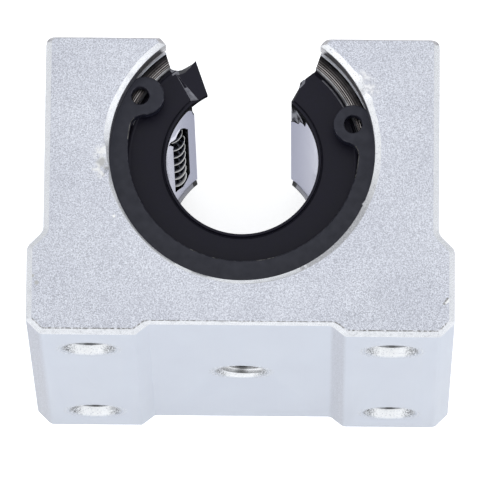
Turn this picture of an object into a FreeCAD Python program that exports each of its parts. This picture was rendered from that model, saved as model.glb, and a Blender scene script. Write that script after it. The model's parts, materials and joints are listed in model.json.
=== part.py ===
import FreeCAD
import Part

import math
import os

from FreeCAD import Placement, Rotation, Vector

# Open linear bearing block for a round shaft that is carried by a rail, in millimetres.
# Z runs along the bore. The mounting face looks towards -Y, and the slot that lets the
# rail through opens towards +Y. The origin is on the bore's axis, halfway along the block.
# An angle on the bearing counts from +Y, the middle of the slot, towards -X.

# Shaft and ball circuits
SHAFT_DIAMETER = 16.0
BALL_DIAMETER = 2.778
CIRCUITS = 4
CIRCUIT_SPACING = 70.0  # degrees from one loaded row to the next
FIRST_ROW_ANGLE = 54.5  # degrees from the slot to the first loaded row
CIRCUIT_SHIFT = -1.75  # how far along the bearing the circuits' middle is
RETURN_LIFT = 1.93  # how much further out a return row runs than a loaded row
TURN_LEAN = 12.0  # degrees that an end turn leans outwards, off the shaft
TURN_BALLS = 2
TURN_GAP = 0.07  # air between neighbouring balls in an end turn
BALL_PLAY = 0.12  # air round a ball in the retainer
MOUTH_GRIP = 0.1  # how much narrower than a ball the retainer's mouth is, to each side
RACEWAY_PLAY = 0.03  # air between a loaded ball and its groove
SHAFT_PLAY = 0.02  # air between the loaded balls and the shaft
REST_PHASE = 0.25  # share of a pitch from the start of a run to its first ball
BALL_SIDES = 6  # flats round a ball, which is drawn inside its true sphere

# Bearing shell, retainer and seals
BEARING_LENGTH = 37.0
SLOT_ANGLE = 78.8  # degrees of the circle that the retainer leaves open at the shaft
SLOT_SPREAD = 57.2  # degrees between the two walls of the bearing's slot
SHELL_WALL = 1.152
SHELL_LIP = 0.4  # how far the shell's ends turn in over the seals
LAND_WIDTH = 3.2  # a raised raceway land inside the shell
LAND_HEIGHT = 0.75  # from a loaded ball's centre out to the top of the land
LAND_END = 0.3  # the lands stop this far before the end turns
LAND_PLAY = 0.1  # air round a land in the retainer's window
RETAINER_GAP = 0.35  # from the shaft to the retainer
RETAINER_FIT = 0.05  # from the retainer to the shell
RETAINER_END_WALL = 1.5  # least plastic beyond an end turn
POCKET_FLATS = 6  # round an end turn's pocket
SEAL_RECESS = 0.8  # from the shell's end to the seal's face
SEAL_THICKNESS = 0.9
SEAL_FIT = 0.02
SEAL_LIP_GAP = 0.05  # from the shaft to the seal's lip
SEAL_LIP_WIDTH = 0.85
SEAL_LIP_HEIGHT = 0.3
TONGUE_INSET = 0.88  # from the seal's rim in to the corner of the front seal's tongue
TONGUE_CORNER_ANGLE = 24.9  # degrees from the slot's middle to the tongue's outer corner
TONGUE_TIP_ANGLE = 27.6  # and to its inner corner
TONGUE_ROOT_ANGLE = 47.0  # and to its end inside the seal
NOTCH_INSET = 1.43  # from the seal's rim in to the bottom of the bite in the tongue
NOTCH_ANGLE = 31.8
NOTCH_RADIUS = 1.6  # at the seal's face
NOTCH_SLOPE = 0.75  # how much narrower the bite is at the seal's back
NIB_START = 1.1  # along the slot's wall, from the shaft side to the front seal's nib
NIB_PEAK = 2.28
NIB_END = 3.4
NIB_HEIGHT = 0.38

# Housing block
BLOCK_WIDTH = 45.0  # across the flanges
BODY_WIDTH = 41.6  # across the arms
BLOCK_LENGTH = 45.0
AXIS_HEIGHT = 20.0  # from the mounting face to the bore's axis
FLANGE_HEIGHT = 9.4
SLOT_WIDTH = 16.2
ARM_LAND = 0.76  # height of the slot's wall above the bore
TIP_CHAMFER = 0.62
ARM_ROUND = 1.0
FOOT_CHAMFER = 1.5
RECESS_WIDTH = 19.2  # flat floor between the two mounting pads
RECESS_SLANT = 1.4
RECESS_DEPTH = 1.1
END_CHAMFER = 0.5
HOUSING_FIT = 0.02
BORE_CHAMFER = 0.5

# Retaining rings
RING_THICKNESS = 1.2
RING_GROOVE_DEPTH = 0.7
RING_PLAY = 0.05
RING_BAND = 3.3  # widest, opposite the gap
RING_SHIFT = 0.8  # the inner circle's shift towards the gap
RING_LUG_ANGLE = 65.5  # degrees from the gap's middle to a lug's hole
RING_LUG_INSET = 2.45  # from the ring's edge in to a lug's hole
RING_LUG_RADIUS = 2.08
RING_LUG_HOLE = 1.8
RING_FILLET = 1.4
FRONT_RING_TURN = -7.5  # degrees
REAR_RING_TURN = 4.0

# Holes and set screws
MOUNT_SPACING_ACROSS = 32.0
MOUNT_SPACING_ALONG = 30.0
MOUNT_DRILL = 4.2
MOUNT_DEPTH = 12.0
HOLE_SINK = 0.55  # a threaded hole's countersink, deep and wide
LOCK_DRILL = 4.2
PRELOAD_DRILL = 3.3
SCREW_SUNK = 1.28  # from the block's face to a set screw's back
THREAD_FIT = 0.03
SOCKET_SHARE = 0.5  # width of a hexagon socket as a share of its screw
SOCKET_DEPTH = 1.6

# Sizes that follow
ball_radius = BALL_DIAMETER / 2
track_half = ball_radius + BALL_PLAY
mouth_half = ball_radius - MOUTH_GRIP
turn_step = math.pi / TURN_BALLS
turn_radius = (BALL_DIAMETER + TURN_GAP) / (2 * math.sin(turn_step / 2))
pitch = turn_radius * turn_step
loaded_radius = SHAFT_DIAMETER / 2 + SHAFT_PLAY + ball_radius
return_radius = loaded_radius + RETURN_LIFT
relief_radius = return_radius + track_half
shell_radius = relief_radius + SHELL_WALL
land_radius = loaded_radius + LAND_HEIGHT
retainer_radius = SHAFT_DIAMETER / 2 + RETAINER_GAP
lip_radius = SHAFT_DIAMETER / 2 + SEAL_LIP_GAP
bearing_half = BEARING_LENGTH / 2
seal_face = bearing_half - SEAL_RECESS
seal_back = seal_face - SEAL_THICKNESS
rim_radius = relief_radius - SEAL_FIT
turn_reach = turn_radius * math.cos(math.radians(TURN_LEAN)) + track_half
run_space = seal_back - RETAINER_END_WALL - turn_reach - abs(CIRCUIT_SHIFT)
run_balls = int(2 * run_space / pitch)
run_half = run_balls * pitch / 2
row_angle_step = math.degrees(math.acos(
    (loaded_radius ** 2 + return_radius ** 2 - 4 * turn_radius ** 2)
    / (2 * loaded_radius * return_radius)))
wall_angle = SLOT_SPREAD / 2
slot_apex = retainer_radius * (
    math.cos(math.radians(SLOT_ANGLE / 2))
    - math.sin(math.radians(SLOT_ANGLE / 2)) / math.tan(math.radians(wall_angle)))
bore_radius = shell_radius + HOUSING_FIT
arm_height = math.sqrt(bore_radius ** 2 - SLOT_WIDTH ** 2 / 4) + ARM_LAND
groove_radius = bore_radius + RING_GROOVE_DEPTH
ring_radius = groove_radius - RING_PLAY
block_half = BLOCK_LENGTH / 2
ALONG = Vector(0, 0, 1)
MIDDLE = ALONG * CIRCUIT_SHIFT


def outward(angle):
    """Unit vector away from the bore's axis at an angle on the bearing."""
    turn = math.radians(angle)
    return Vector(-math.sin(turn), math.cos(turn), 0)


def sideways(angle):
    """Unit vector round the bore, the way that angles grow."""
    turn = math.radians(angle)
    return Vector(-math.cos(turn), -math.sin(turn), 0)


def cylinder(radius, low, high):
    return Part.makeCylinder(radius, high - low, Vector(0, 0, low))


def tube(inner, outer, low, high):
    return cylinder(outer, low, high).cut(cylinder(inner, low, high))


def placed(shape, origin, x_axis, y_axis):
    """A shape drawn at the origin, moved to a frame given by two axes."""
    turned = Rotation(x_axis, y_axis, x_axis.cross(y_axis), "XYZ")
    shape.Placement = Placement(origin, turned)
    return shape


def rounded_face(corners):
    """A face from corners (x, y, radius), where a radius above zero becomes an arc."""
    points = [Vector(x, y, 0) for x, y, _ in corners]
    edges = []
    starts = []
    ends = []
    for place, (point, corner) in enumerate(zip(points, corners)):
        back = (points[place - 1] - point).normalize()
        ahead = (points[(place + 1) % len(points)] - point).normalize()
        half = back.getAngle(ahead) / 2
        reach = corner[2] / math.tan(half)
        starts.append(point + back * reach)
        ends.append(point + ahead * reach)
        if corner[2] > 0:
            crown = corner[2] / math.sin(half) - corner[2]
            middle = point + (back + ahead).normalize() * crown
            edges.append(Part.Arc(starts[-1], middle, ends[-1]).toShape())
    for place, start in enumerate(starts):
        edges.append(Part.LineSegment(ends[place - 1], start).toShape())
    return Part.Face(Part.Wire(Part.__sortEdges__(edges)))


def prism(corners, low, high):
    """A solid that stands on corners given as vectors across the bore."""
    loop = [corner + ALONG * low for corner in corners + corners[:1]]
    return Part.Face(Part.makePolygon(loop)).extrude(ALONG * (high - low))


def wedge(half_angle, apex, low, high):
    """The prism between two walls that meet at a height on the Y axis, wider than the bearing."""
    edge = Vector(0, apex, 0)
    reach = 2 * shell_radius / math.cos(math.radians(half_angle))
    corners = [edge, edge + outward(half_angle) * reach, edge + outward(-half_angle) * reach]
    return prism(corners, low, high)


def slot_space(low, high):
    """The space between the two walls of the bearing's slot."""
    return wedge(wall_angle, slot_apex, low, high)


def opened(shape):
    return shape.cut(slot_space(-bearing_half, bearing_half)).removeSplitter()


def drilled(drill, depth, entry, into):
    """A countersunk flat-bottomed hole, as the solid to cut away."""
    hole = Part.makeCylinder(drill / 2, depth, entry, into)
    return hole.fuse(Part.makeCone(drill / 2 + HOLE_SINK, drill / 2, HOLE_SINK, entry, into))


def row_angles():
    """The angle of each circuit's loaded row and return row."""
    for circuit in range(CIRCUITS):
        loaded = FIRST_ROW_ANGLE + circuit * CIRCUIT_SPACING
        yield loaded, loaded + row_angle_step


def turn_frame(loaded_angle, return_angle, end):
    """Centre, across and ahead axes of the end turn at the front (end 1) or rear (end -1)."""
    loaded = outward(loaded_angle) * loaded_radius
    returning = outward(return_angle) * return_radius
    centre = (loaded + returning) * 0.5 + MIDDLE + ALONG * end * run_half
    across = (returning - loaded).normalize()
    lean = math.radians(TURN_LEAN)
    ahead = ALONG * end * math.cos(lean) + across.cross(ALONG) * math.sin(lean)
    return centre, across * end, ahead


def obround(half_width, half_length, low, high):
    """A slot with round ends: long along Y, its depth along Z."""
    body = Part.makeBox(2 * half_width, 2 * half_length, high - low,
                        Vector(-half_width, -half_length, low))
    for end in (-half_length, half_length):
        body = body.fuse(Part.makeCylinder(half_width, high - low, Vector(0, end, low)))
    return body.removeSplitter()


def turn_pocket():
    """Half a disc with flats round it that a turn's balls run in, open on the outer side."""
    step = 180 / POCKET_FLATS
    rim = Vector((turn_radius + track_half) / math.cos(math.radians(step / 2)), 0, 0)
    corners = [Rotation(ALONG, step * (flat + 0.5)).multVec(rim) for flat in range(POCKET_FLATS)]
    sides = [Vector(corner.x, 0, 0) for corner in (corners[-1], corners[0])]
    return prism(corners + sides, -track_half, shell_radius)


def ball_retainer():
    body = tube(retainer_radius, relief_radius - RETAINER_FIT, -seal_back, seal_back)
    track_floor = loaded_radius - math.sqrt(track_half ** 2 - mouth_half ** 2)
    window_half = LAND_WIDTH / 2 + LAND_PLAY
    window_reach = run_half - LAND_END + LAND_PLAY
    channel_reach = run_half + track_half * math.tan(math.radians(TURN_LEAN))
    cuts = []
    for loaded, returning in row_angles():
        mouth = obround(mouth_half, run_half, 0, shell_radius)
        cuts.append(placed(mouth, MIDDLE, sideways(loaded), ALONG))
        track = obround(track_half, run_half, track_floor, shell_radius)
        cuts.append(placed(track, MIDDLE, sideways(loaded), ALONG))
        window = Part.makeBox(2 * window_half, 2 * window_reach, shell_radius,
                              Vector(-window_half, -window_reach, land_radius - LAND_PLAY))
        cuts.append(placed(window, MIDDLE, sideways(loaded), ALONG))
        channel = Part.makeBox(2 * track_half, 2 * channel_reach, shell_radius,
                               Vector(-track_half, -channel_reach, return_radius - track_half))
        cuts.append(placed(channel, MIDDLE, sideways(returning), ALONG))
        for end in (1, -1):
            cuts.append(placed(turn_pocket(), *turn_frame(loaded, returning, end)))
    return opened(body.cut(cuts))


def bearing_shell():
    body = tube(relief_radius, shell_radius, -bearing_half, bearing_half)
    lip = tube(relief_radius - SHELL_LIP, shell_radius, seal_face + SEAL_FIT, bearing_half)
    body = body.fuse([lip, turned_to(lip, -1)])
    land_reach = run_half - LAND_END
    lands = []
    grooves = []
    for loaded, _ in row_angles():
        land = Part.makeBox(LAND_WIDTH, 2 * land_reach, relief_radius + SHELL_WALL / 2 - land_radius,
                            Vector(-LAND_WIDTH / 2, -land_reach, land_radius))
        lands.append(placed(land, MIDDLE, sideways(loaded), ALONG))
        centre = outward(loaded) * loaded_radius + MIDDLE - ALONG * land_reach
        grooves.append(Part.makeCylinder(ball_radius + RACEWAY_PLAY, 2 * land_reach, centre))
    return opened(body.fuse(lands).removeSplitter().cut(grooves))


def turned_to(shape, end):
    """A shape drawn for the front end, or mirrored to the rear end."""
    if end < 0:
        return shape.mirror(Vector(), ALONG)
    return shape


def end_seal():
    """A flat seal whose inner edge rises to a lip, drawn for the front end."""
    lip_edge = lip_radius + SEAL_LIP_WIDTH
    section = [(lip_radius, seal_back), (rim_radius, seal_back), (rim_radius, seal_face),
               (lip_edge, seal_face), (lip_radius, seal_face + SEAL_LIP_HEIGHT)]
    corners = [Vector(radius, 0, height) for radius, height in section]
    ring = Part.Face(Part.makePolygon(corners + corners[:1])).revolve(Vector(), ALONG, 360)
    return opened(ring)


def front_end_seal():
    """The front seal has a notched tongue at one end, in the slot, and a nib at the other."""
    corner_radius = rim_radius - TONGUE_INSET
    tongue = prism([outward(TONGUE_CORNER_ANGLE) * corner_radius,
                    outward(TONGUE_TIP_ANGLE) * lip_radius,
                    outward(TONGUE_ROOT_ANGLE) * lip_radius,
                    outward(TONGUE_ROOT_ANGLE) * rim_radius], seal_back, seal_face)
    tongue = tongue.cut(cylinder(lip_radius, seal_back, seal_face))
    start = outward(-SLOT_ANGLE / 2) * retainer_radius
    along = outward(-wall_angle)
    across = along.cross(ALONG) * -NIB_HEIGHT
    nib = prism([start + along * NIB_START, start + along * NIB_PEAK - across,
                 start + along * NIB_END, start + along * NIB_PEAK + across], seal_back, seal_face)
    seal = end_seal().fuse([tongue, nib])
    middle = outward(NOTCH_ANGLE) * (rim_radius - NOTCH_INSET + NOTCH_RADIUS)
    bite = Part.makeCone(NOTCH_RADIUS - NOTCH_SLOPE, NOTCH_RADIUS, SEAL_THICKNESS,
                         middle + ALONG * seal_back)
    return seal.cut(bite.common(slot_space(seal_back, seal_face))).removeSplitter()


def retaining_ring(end, turn):
    """A flat ring with an off-centre inner edge and two eyes, drawn with its gap towards +Y."""
    low = bearing_half
    high = low + RING_THICKNESS
    inner = ring_radius - RING_BAND + RING_SHIFT
    hub = Vector(0, RING_SHIFT, low)
    hollow = Part.makeCylinder(inner, RING_THICKNESS, hub)
    gap = wedge(RING_LUG_ANGLE, 0, low, high)
    ring = cylinder(ring_radius, low, high).cut(hollow).cut(gap)
    eyes = []
    for side in (1, -1):
        eye = outward(side * RING_LUG_ANGLE) * (ring_radius - RING_LUG_INSET) + ALONG * low
        lug = Part.makeCylinder(RING_LUG_RADIUS, RING_THICKNESS, eye)
        web = lug_web(eye, hub, inner, side)
        ring = ring.fuse([lug, web])
        eyes.append(Part.makeCylinder(RING_LUG_HOLE / 2, RING_THICKNESS, eye))
    ring = ring.common(cylinder(ring_radius, low, high)).cut(eyes).removeSplitter()
    ring.rotate(Vector(), ALONG, turn)
    return turned_to(ring, end)


def lug_web(eye, hub, inner, side):
    """Fills the corner between a lug and the band, hollowed by an arc that touches both."""
    spread = hub - eye
    reach_lug = RING_LUG_RADIUS + RING_FILLET
    reach_hub = inner - RING_FILLET
    along = (reach_lug ** 2 - reach_hub ** 2 + spread.Length ** 2) / (2 * spread.Length)
    height = math.sqrt(reach_lug ** 2 - along ** 2)
    axis = Vector(spread).normalize()
    centre = eye + axis * along - ALONG.cross(axis) * height * side
    foot = hub + (centre - hub).normalize() * (inner + RING_BAND / 2)
    corner = prism([eye, centre, foot], 0, RING_THICKNESS)
    return corner.cut(Part.makeCylinder(RING_FILLET, RING_THICKNESS, centre))


def ball(centre, angle):
    """A ball as a many-sided solid with its corners on the true sphere."""
    bands = BALL_SIDES // 2
    rings = []
    for band in range(bands + 1):
        rise = math.pi * (band / bands - 0.5)
        level = Vector(0, 0, ball_radius * math.sin(rise))
        spoke = Vector(ball_radius * math.cos(rise), 0, 0)
        rings.append([level + Rotation(ALONG, 360 * side / BALL_SIDES).multVec(spoke)
                      for side in range(BALL_SIDES)])
    faces = []
    for lower, upper in zip(rings, rings[1:]):
        for side in range(BALL_SIDES):
            after = (side + 1) % BALL_SIDES
            corners = [lower[side], lower[after], upper[after], upper[side]]
            if lower is rings[0]:
                corners.pop(1)
            if upper is rings[-1]:
                corners.pop()
            faces.append(Part.Face(Part.makePolygon(corners + corners[:1])))
    solid = Part.makeSolid(Part.makeShell(faces))
    solid.Placement = Placement(centre, Rotation(ALONG, angle + 90))
    return solid


def straight_row(angle, radius, heading):
    """The balls of a loaded row (heading 1, moving towards +Z) or a return row (heading -1)."""
    start = outward(angle) * radius + MIDDLE - ALONG * heading * run_half
    steps = [(REST_PHASE + place) * pitch for place in range(run_balls)]
    return Part.makeCompound([ball(start + ALONG * heading * step, angle) for step in steps])


def turn_row(loaded, returning, end):
    """The balls of an end turn, on their way from one row to the other."""
    centre, across, ahead = turn_frame(loaded, returning, end)
    balls = []
    for place in range(TURN_BALLS):
        turn = (REST_PHASE + place) * turn_step
        step = ahead * math.sin(turn) - across * math.cos(turn)
        balls.append(ball(centre + step * turn_radius, (loaded + returning) / 2))
    return Part.makeCompound(balls)


def housing_block():
    foot = -AXIS_HEIGHT
    half = BLOCK_WIDTH / 2
    body = BODY_WIDTH / 2
    slot = SLOT_WIDTH / 2
    recess = RECESS_WIDTH / 2
    flange = foot + FLANGE_HEIGHT
    right = [(recess, foot + RECESS_DEPTH, 0), (recess + RECESS_SLANT, foot, 0),
             (half - FOOT_CHAMFER, foot, 0), (half, foot + FOOT_CHAMFER, 0),
             (half, flange, 0), (body, flange + half - body, 0),
             (body, arm_height, ARM_ROUND), (slot + TIP_CHAMFER, arm_height, 0),
             (slot, arm_height - TIP_CHAMFER, 0), (slot, 0, 0)]
    left = [(-x, y, radius) for x, y, radius in reversed(right)]
    face = rounded_face(right + left)
    face.translate(ALONG * -block_half)
    block = face.extrude(ALONG * BLOCK_LENGTH)
    ends = [edge for edge in block.Edges if edge.BoundBox.ZLength < END_CHAMFER]
    block = block.makeChamfer(END_CHAMFER, ends)
    block = block.cut(cylinder(bore_radius, -block_half, block_half))
    for end in (1, -1):
        mouth = Part.makeCone(bore_radius, bore_radius + BORE_CHAMFER, BORE_CHAMFER,
                              Vector(0, 0, block_half - BORE_CHAMFER))
        groove = cylinder(groove_radius, bearing_half - RING_PLAY,
                          bearing_half + RING_THICKNESS + RING_PLAY)
        block = block.cut(turned_to(mouth, end)).cut(turned_to(groove, end))
    return block.cut(block_holes()).removeSplitter()


def block_holes():
    up = Vector(0, 1, 0)
    holes = []
    for x in (-MOUNT_SPACING_ACROSS / 2, MOUNT_SPACING_ACROSS / 2):
        for z in (-MOUNT_SPACING_ALONG / 2, MOUNT_SPACING_ALONG / 2):
            entry = Vector(x, -AXIS_HEIGHT, z)
            holes.append(drilled(MOUNT_DRILL, MOUNT_DEPTH, entry, up))
    floor = Vector(0, RECESS_DEPTH - AXIS_HEIGHT, 0)
    holes.append(drilled(LOCK_DRILL, AXIS_HEIGHT - RECESS_DEPTH, floor, up))
    holes.append(Part.makeCylinder(PRELOAD_DRILL / 2, BODY_WIDTH / 2, Vector(), Vector(1, 0, 0)))
    return holes


def set_screw(drill, length):
    """A headless screw along +Z from its tip at the origin, with a hexagon socket in its back."""
    radius = drill / 2 - THREAD_FIT
    body = Part.makeCylinder(radius, length)
    across = drill * SOCKET_SHARE / math.sqrt(3)
    corners = [Vector(across, 0, length - SOCKET_DEPTH)]
    for _ in range(6):
        corners.append(Rotation(ALONG, 60).multVec(corners[-1]))
    corners[-1] = corners[0]
    socket = Part.Face(Part.makePolygon(corners)).extrude(ALONG * SOCKET_DEPTH)
    return body.cut(socket)


def lock_screw():
    screw = set_screw(LOCK_DRILL, AXIS_HEIGHT - RECESS_DEPTH - bore_radius - SCREW_SUNK)
    screw.Placement = Placement(Vector(0, -bore_radius, 0), Rotation(ALONG, Vector(0, -1, 0)))
    return screw


def preload_screw():
    screw = set_screw(PRELOAD_DRILL, BODY_WIDTH / 2 - bore_radius - SCREW_SUNK)
    screw.Placement = Placement(Vector(bore_radius, 0, 0), Rotation(ALONG, Vector(1, 0, 0)))
    return screw


def parts():
    yield "housing_block", housing_block()
    yield "bearing_shell", bearing_shell()
    yield "ball_retainer", ball_retainer()
    yield "front_end_seal", front_end_seal()
    yield "rear_end_seal", turned_to(end_seal(), -1)
    yield "front_retaining_ring", retaining_ring(1, FRONT_RING_TURN)
    yield "rear_retaining_ring", retaining_ring(-1, REAR_RING_TURN)
    yield "lock_screw", lock_screw()
    yield "preload_screw", preload_screw()
    for number, (loaded, returning) in enumerate(row_angles(), 1):
        circuit = f"circuit_{number}"
        yield f"{circuit}_loaded_balls", straight_row(loaded, loaded_radius, 1)
        yield f"{circuit}_return_balls", straight_row(returning, return_radius, -1)
        yield f"{circuit}_front_turn_balls", turn_row(loaded, returning, 1)
        yield f"{circuit}_rear_turn_balls", turn_row(loaded, returning, -1)


os.makedirs("parts", exist_ok=True)
for name, shape in parts():
    shape.exportStep(f"parts/{name}.step")
    print(name, len(shape.Solids), "solids", round(shape.Volume, 2), "mm3", shape.isValid())
print("ball pitch", round(pitch, 4), "turn radius", round(turn_radius, 4), "run", run_balls)
print("shell radius", round(shell_radius, 3), "arm height", round(arm_height, 3))
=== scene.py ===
# %% [markdown]
# An open linear bearing block: an aluminium housing with a slotted bore, and in the bore a
# ball bearing that runs along a 16 mm shaft. The exact solids are packed already. This lesson
# loads them as a fixed frame and builds, around it, the looks that plain solids lack.

# %% Load the frame
import json
import math

import bmesh
import bpy
from mathutils import Matrix, Vector, noise

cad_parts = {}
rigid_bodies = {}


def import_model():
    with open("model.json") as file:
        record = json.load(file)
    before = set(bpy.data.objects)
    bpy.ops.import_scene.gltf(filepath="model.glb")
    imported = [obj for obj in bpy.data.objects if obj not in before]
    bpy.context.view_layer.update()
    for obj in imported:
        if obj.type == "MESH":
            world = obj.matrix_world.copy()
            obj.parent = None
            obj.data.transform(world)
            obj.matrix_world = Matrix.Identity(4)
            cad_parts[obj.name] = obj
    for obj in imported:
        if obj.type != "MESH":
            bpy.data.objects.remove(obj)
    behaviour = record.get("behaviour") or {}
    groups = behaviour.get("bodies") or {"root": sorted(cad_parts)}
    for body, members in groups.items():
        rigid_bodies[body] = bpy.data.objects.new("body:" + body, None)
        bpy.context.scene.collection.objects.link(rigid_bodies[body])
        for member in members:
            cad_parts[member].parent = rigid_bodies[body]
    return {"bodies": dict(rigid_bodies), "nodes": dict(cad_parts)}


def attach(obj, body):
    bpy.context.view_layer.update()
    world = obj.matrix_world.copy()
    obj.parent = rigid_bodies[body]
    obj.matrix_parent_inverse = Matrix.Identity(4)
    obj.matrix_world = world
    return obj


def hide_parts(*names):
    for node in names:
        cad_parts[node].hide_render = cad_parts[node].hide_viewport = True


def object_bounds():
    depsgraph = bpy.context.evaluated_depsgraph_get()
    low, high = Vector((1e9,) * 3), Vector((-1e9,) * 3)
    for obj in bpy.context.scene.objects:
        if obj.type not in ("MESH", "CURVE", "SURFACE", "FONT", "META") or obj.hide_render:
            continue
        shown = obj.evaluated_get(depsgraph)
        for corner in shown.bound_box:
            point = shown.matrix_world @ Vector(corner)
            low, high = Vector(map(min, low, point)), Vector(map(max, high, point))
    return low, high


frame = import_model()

cad_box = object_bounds()
MM = 0.001

# %% [markdown]
# The photograph was taken with a long lens from above the front end of the block, so that the
# mounting face shows below it. A camera could be set by eye, but here its place was worked out
# from the corners and holes that are known in millimetres, so every edge lands on its pixel.

# %% Camera
PHOTO_SIDE = 480
FOCAL_PIXELS = 8611.66
CAMERA_DISTANCE = 927.673
ACROSS, UP = 0.348, 4.235
TILT, YAW, ROLL = (math.radians(angle) for angle in (-13.622, -0.501, -0.484))

scene = bpy.context.scene
scene.view_settings.view_transform = "Standard"
to_camera = (Matrix.Rotation(ROLL, 3, "Z") @ Matrix.Rotation(YAW, 3, "Y")
             @ Matrix.Rotation(TILT, 3, "X"))
to_block = to_camera.transposed()
lens = bpy.data.cameras.new("photo_camera")
lens.sensor_width = 36
lens.lens = FOCAL_PIXELS / PHOTO_SIDE * lens.sensor_width
lens.clip_start, lens.clip_end = 0.02, 20
camera = bpy.data.objects.new("photo_camera", lens)
spot = to_block @ Vector((-ACROSS, -UP, CAMERA_DISTANCE)) * MM
camera.matrix_world = Matrix.Translation(spot) @ to_block.to_4x4()
scene.collection.objects.link(camera)
scene.camera = camera
print("camera at", [round(c, 3) for c in spot], "lens", round(lens.lens, 1))

# %% [markdown]
# Light and finishes are node trees. By hand, each node takes a line to add, one for every value
# and one for every link. One helper does all three in a call. The others stand on it: a grain in
# millimetres, a colour or a number that follows it, a distance, and a bump in micrometres.

# %% Helpers for node trees


def is_socket(source):
    return isinstance(source, bpy.types.NodeSocket)


def add_node(kind, *sources, to=None, out=0, named=None, **settings):
    """Adds a node to a finish, or to the tree of the sockets it takes. Links or sets its inputs,
    in order or by name, and returns one output."""
    given = {**dict(enumerate(sources)), **(named or {})}
    tree = to.node_tree if to else next(filter(is_socket, given.values())).id_data
    made = tree.nodes.new("ShaderNode" + kind)
    for setting, value in settings.items():
        setattr(made, setting, value)
    for place, source in given.items():
        if is_socket(source):
            tree.links.new(source, made.inputs[place])
        else:
            made.inputs[place].default_value = source
    return made.outputs[out]


def shader_of(finish):
    return finish.node_tree.nodes["Principled BSDF"]


def new_finish(name, **values):
    """A material whose plain values are set straight on the shader's sockets."""
    finish = bpy.data.materials.new(name)
    finish.use_nodes = True
    for socket, value in values.items():
        shader_of(finish).inputs[socket.replace("_", " ")].default_value = value
    return finish


def feed(finish, socket, source):
    finish.node_tree.links.new(source, shader_of(finish).inputs[socket])


def surface(finish, source="Object"):
    """The place of a point on the surface, or its normal."""
    return add_node("TexCoord", to=finish, out=source)


def axes(finish, source="Object"):
    """The X, Y and Z of that place or normal."""
    return add_node("SeparateXYZ", surface(finish, source)).node.outputs


def grain(finish, size, stretch=(1, 1, 1), detail=2.0):
    """A speckle about size millimetres across, drawn out along an axis by stretch."""
    scale = [1 / (size * MM * along) for along in stretch]
    place = add_node("Mapping", surface(finish), named={"Scale": scale})
    return add_node("TexNoise", place, out="Fac", named={"Scale": 1.0, "Detail": detail})


def colours(level, *stops):
    """Turns a level into a colour, by stops of (level, (red, green, blue))."""
    colour = add_node("ValToRGB", level)
    band = colour.node.color_ramp
    while len(band.elements) < len(stops):
        band.elements.new(0.5)
    for element, (at, shade) in zip(band.elements, stops):
        element.position = at
        element.color = (*shade, 1)
    return colour


def between(level, low, high, start=0.3, end=0.7):
    """Turns a level from start to end into a number from low to high."""
    return add_node("MapRange", level, start, end, low, high)


def blended(level, first, second, mode="MIX"):
    """One colour over another, by a level or by a fixed share."""
    return add_node("Mix", out="Result", data_type="RGBA", blend_type=mode,
                    named={"Factor": level, "A": first, "B": second})


def times(first, second):
    return add_node("Math", first, second, operation="MULTIPLY")


def distance(finish, point):
    """How far a place is from a point in millimetres, in metres."""
    return add_node("VectorMath", surface(finish), Vector(point) * MM,
                    operation="DISTANCE", out="Value")


def near(finish, point, radius):
    """1 at a point in millimetres, falling to 0 at a radius round it."""
    return between(distance(finish, point), 1, 0, 0.0, radius * MM)


def emboss(finish, height, micrometres, strength):
    """Raises the surface by a level."""
    feed(finish, "Normal", add_node("Bump", named={
        "Height": height, "Distance": micrometres * 1e-6, "Strength": strength}))


print("node helpers ready")

# %% [markdown]
# A studio table is a wide pale sheet under soft boxes. One big plane does for the sheet. To the
# camera it glows, which takes it to white as in the photograph, and in reflections it glows a
# little less, but for the patch that shows through the bore and lights the balls from below. Its
# matt part still catches the shadow of the block.

# %% Floor
FLOOR_Z = cad_box[0].z
FLOOR_HALF = 2
FLOOR_GLOW = 0.75  # as the camera sees it
MIRRORED_GLOW = 0.45  # as metal mirrors it
BORE_GLOW = 0.75  # as the balls mirror it, through the bore
BORE_PATCH = (0.010, 0.014)  # the patch's radius, and where it has faded, in metres

floor_mesh = bpy.data.meshes.new("floor")
floor_mesh.from_pydata([(x * FLOOR_HALF, y * FLOOR_HALF, FLOOR_Z) for x, y in (
    (-1, -1), (1, -1), (1, 1), (-1, 1))], [], [(0, 1, 2, 3)])
floor = bpy.data.objects.new("floor", floor_mesh)
scene.collection.objects.link(floor)

paper = new_finish("floor_paper", Base_Color=(0.82, 0.83, 0.84, 1), Roughness=0.9,
                   Emission_Color=(1, 1, 1, 1))
patch = between(distance(paper, (0, 0, FLOOR_Z / MM)), BORE_GLOW, MIRRORED_GLOW, *BORE_PATCH)
mirrored = times(add_node("LightPath", to=paper, out="Is Glossy Ray"), patch)
seen = add_node("LightPath", to=paper, out="Is Camera Ray")
glow = add_node("Math", seen, FLOOR_GLOW, mirrored, operation="MULTIPLY_ADD")
feed(paper, "Emission Strength", glow)
floor_mesh.materials.append(paper)
print("floor at z", round(FLOOR_Z, 4))

# %% [markdown]
# The light is soft and comes from nearly everywhere, with more from the front, low down, where
# a studio has its white wall. The sky does most of it: white where it is seen directly, and a
# gradient from back to front for all that it lights. Three soft boxes give the edges their shine.

# %% Sky and lamps
SKY_LIGHT = 0.60
FRONT_WALL = 0.42  # how much brighter the sky is at the front
LAMPS = {  # place in metres, side in metres, watts
    "soft_box_left": ((-0.55, -0.35, 0.45), 0.5, 0.7),
    "soft_box_right": ((0.55, -0.15, 0.40), 0.5, 0.6),
    "soft_box_top": ((0.0, 0.25, 0.75), 0.6, 0.8),
}

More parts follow.
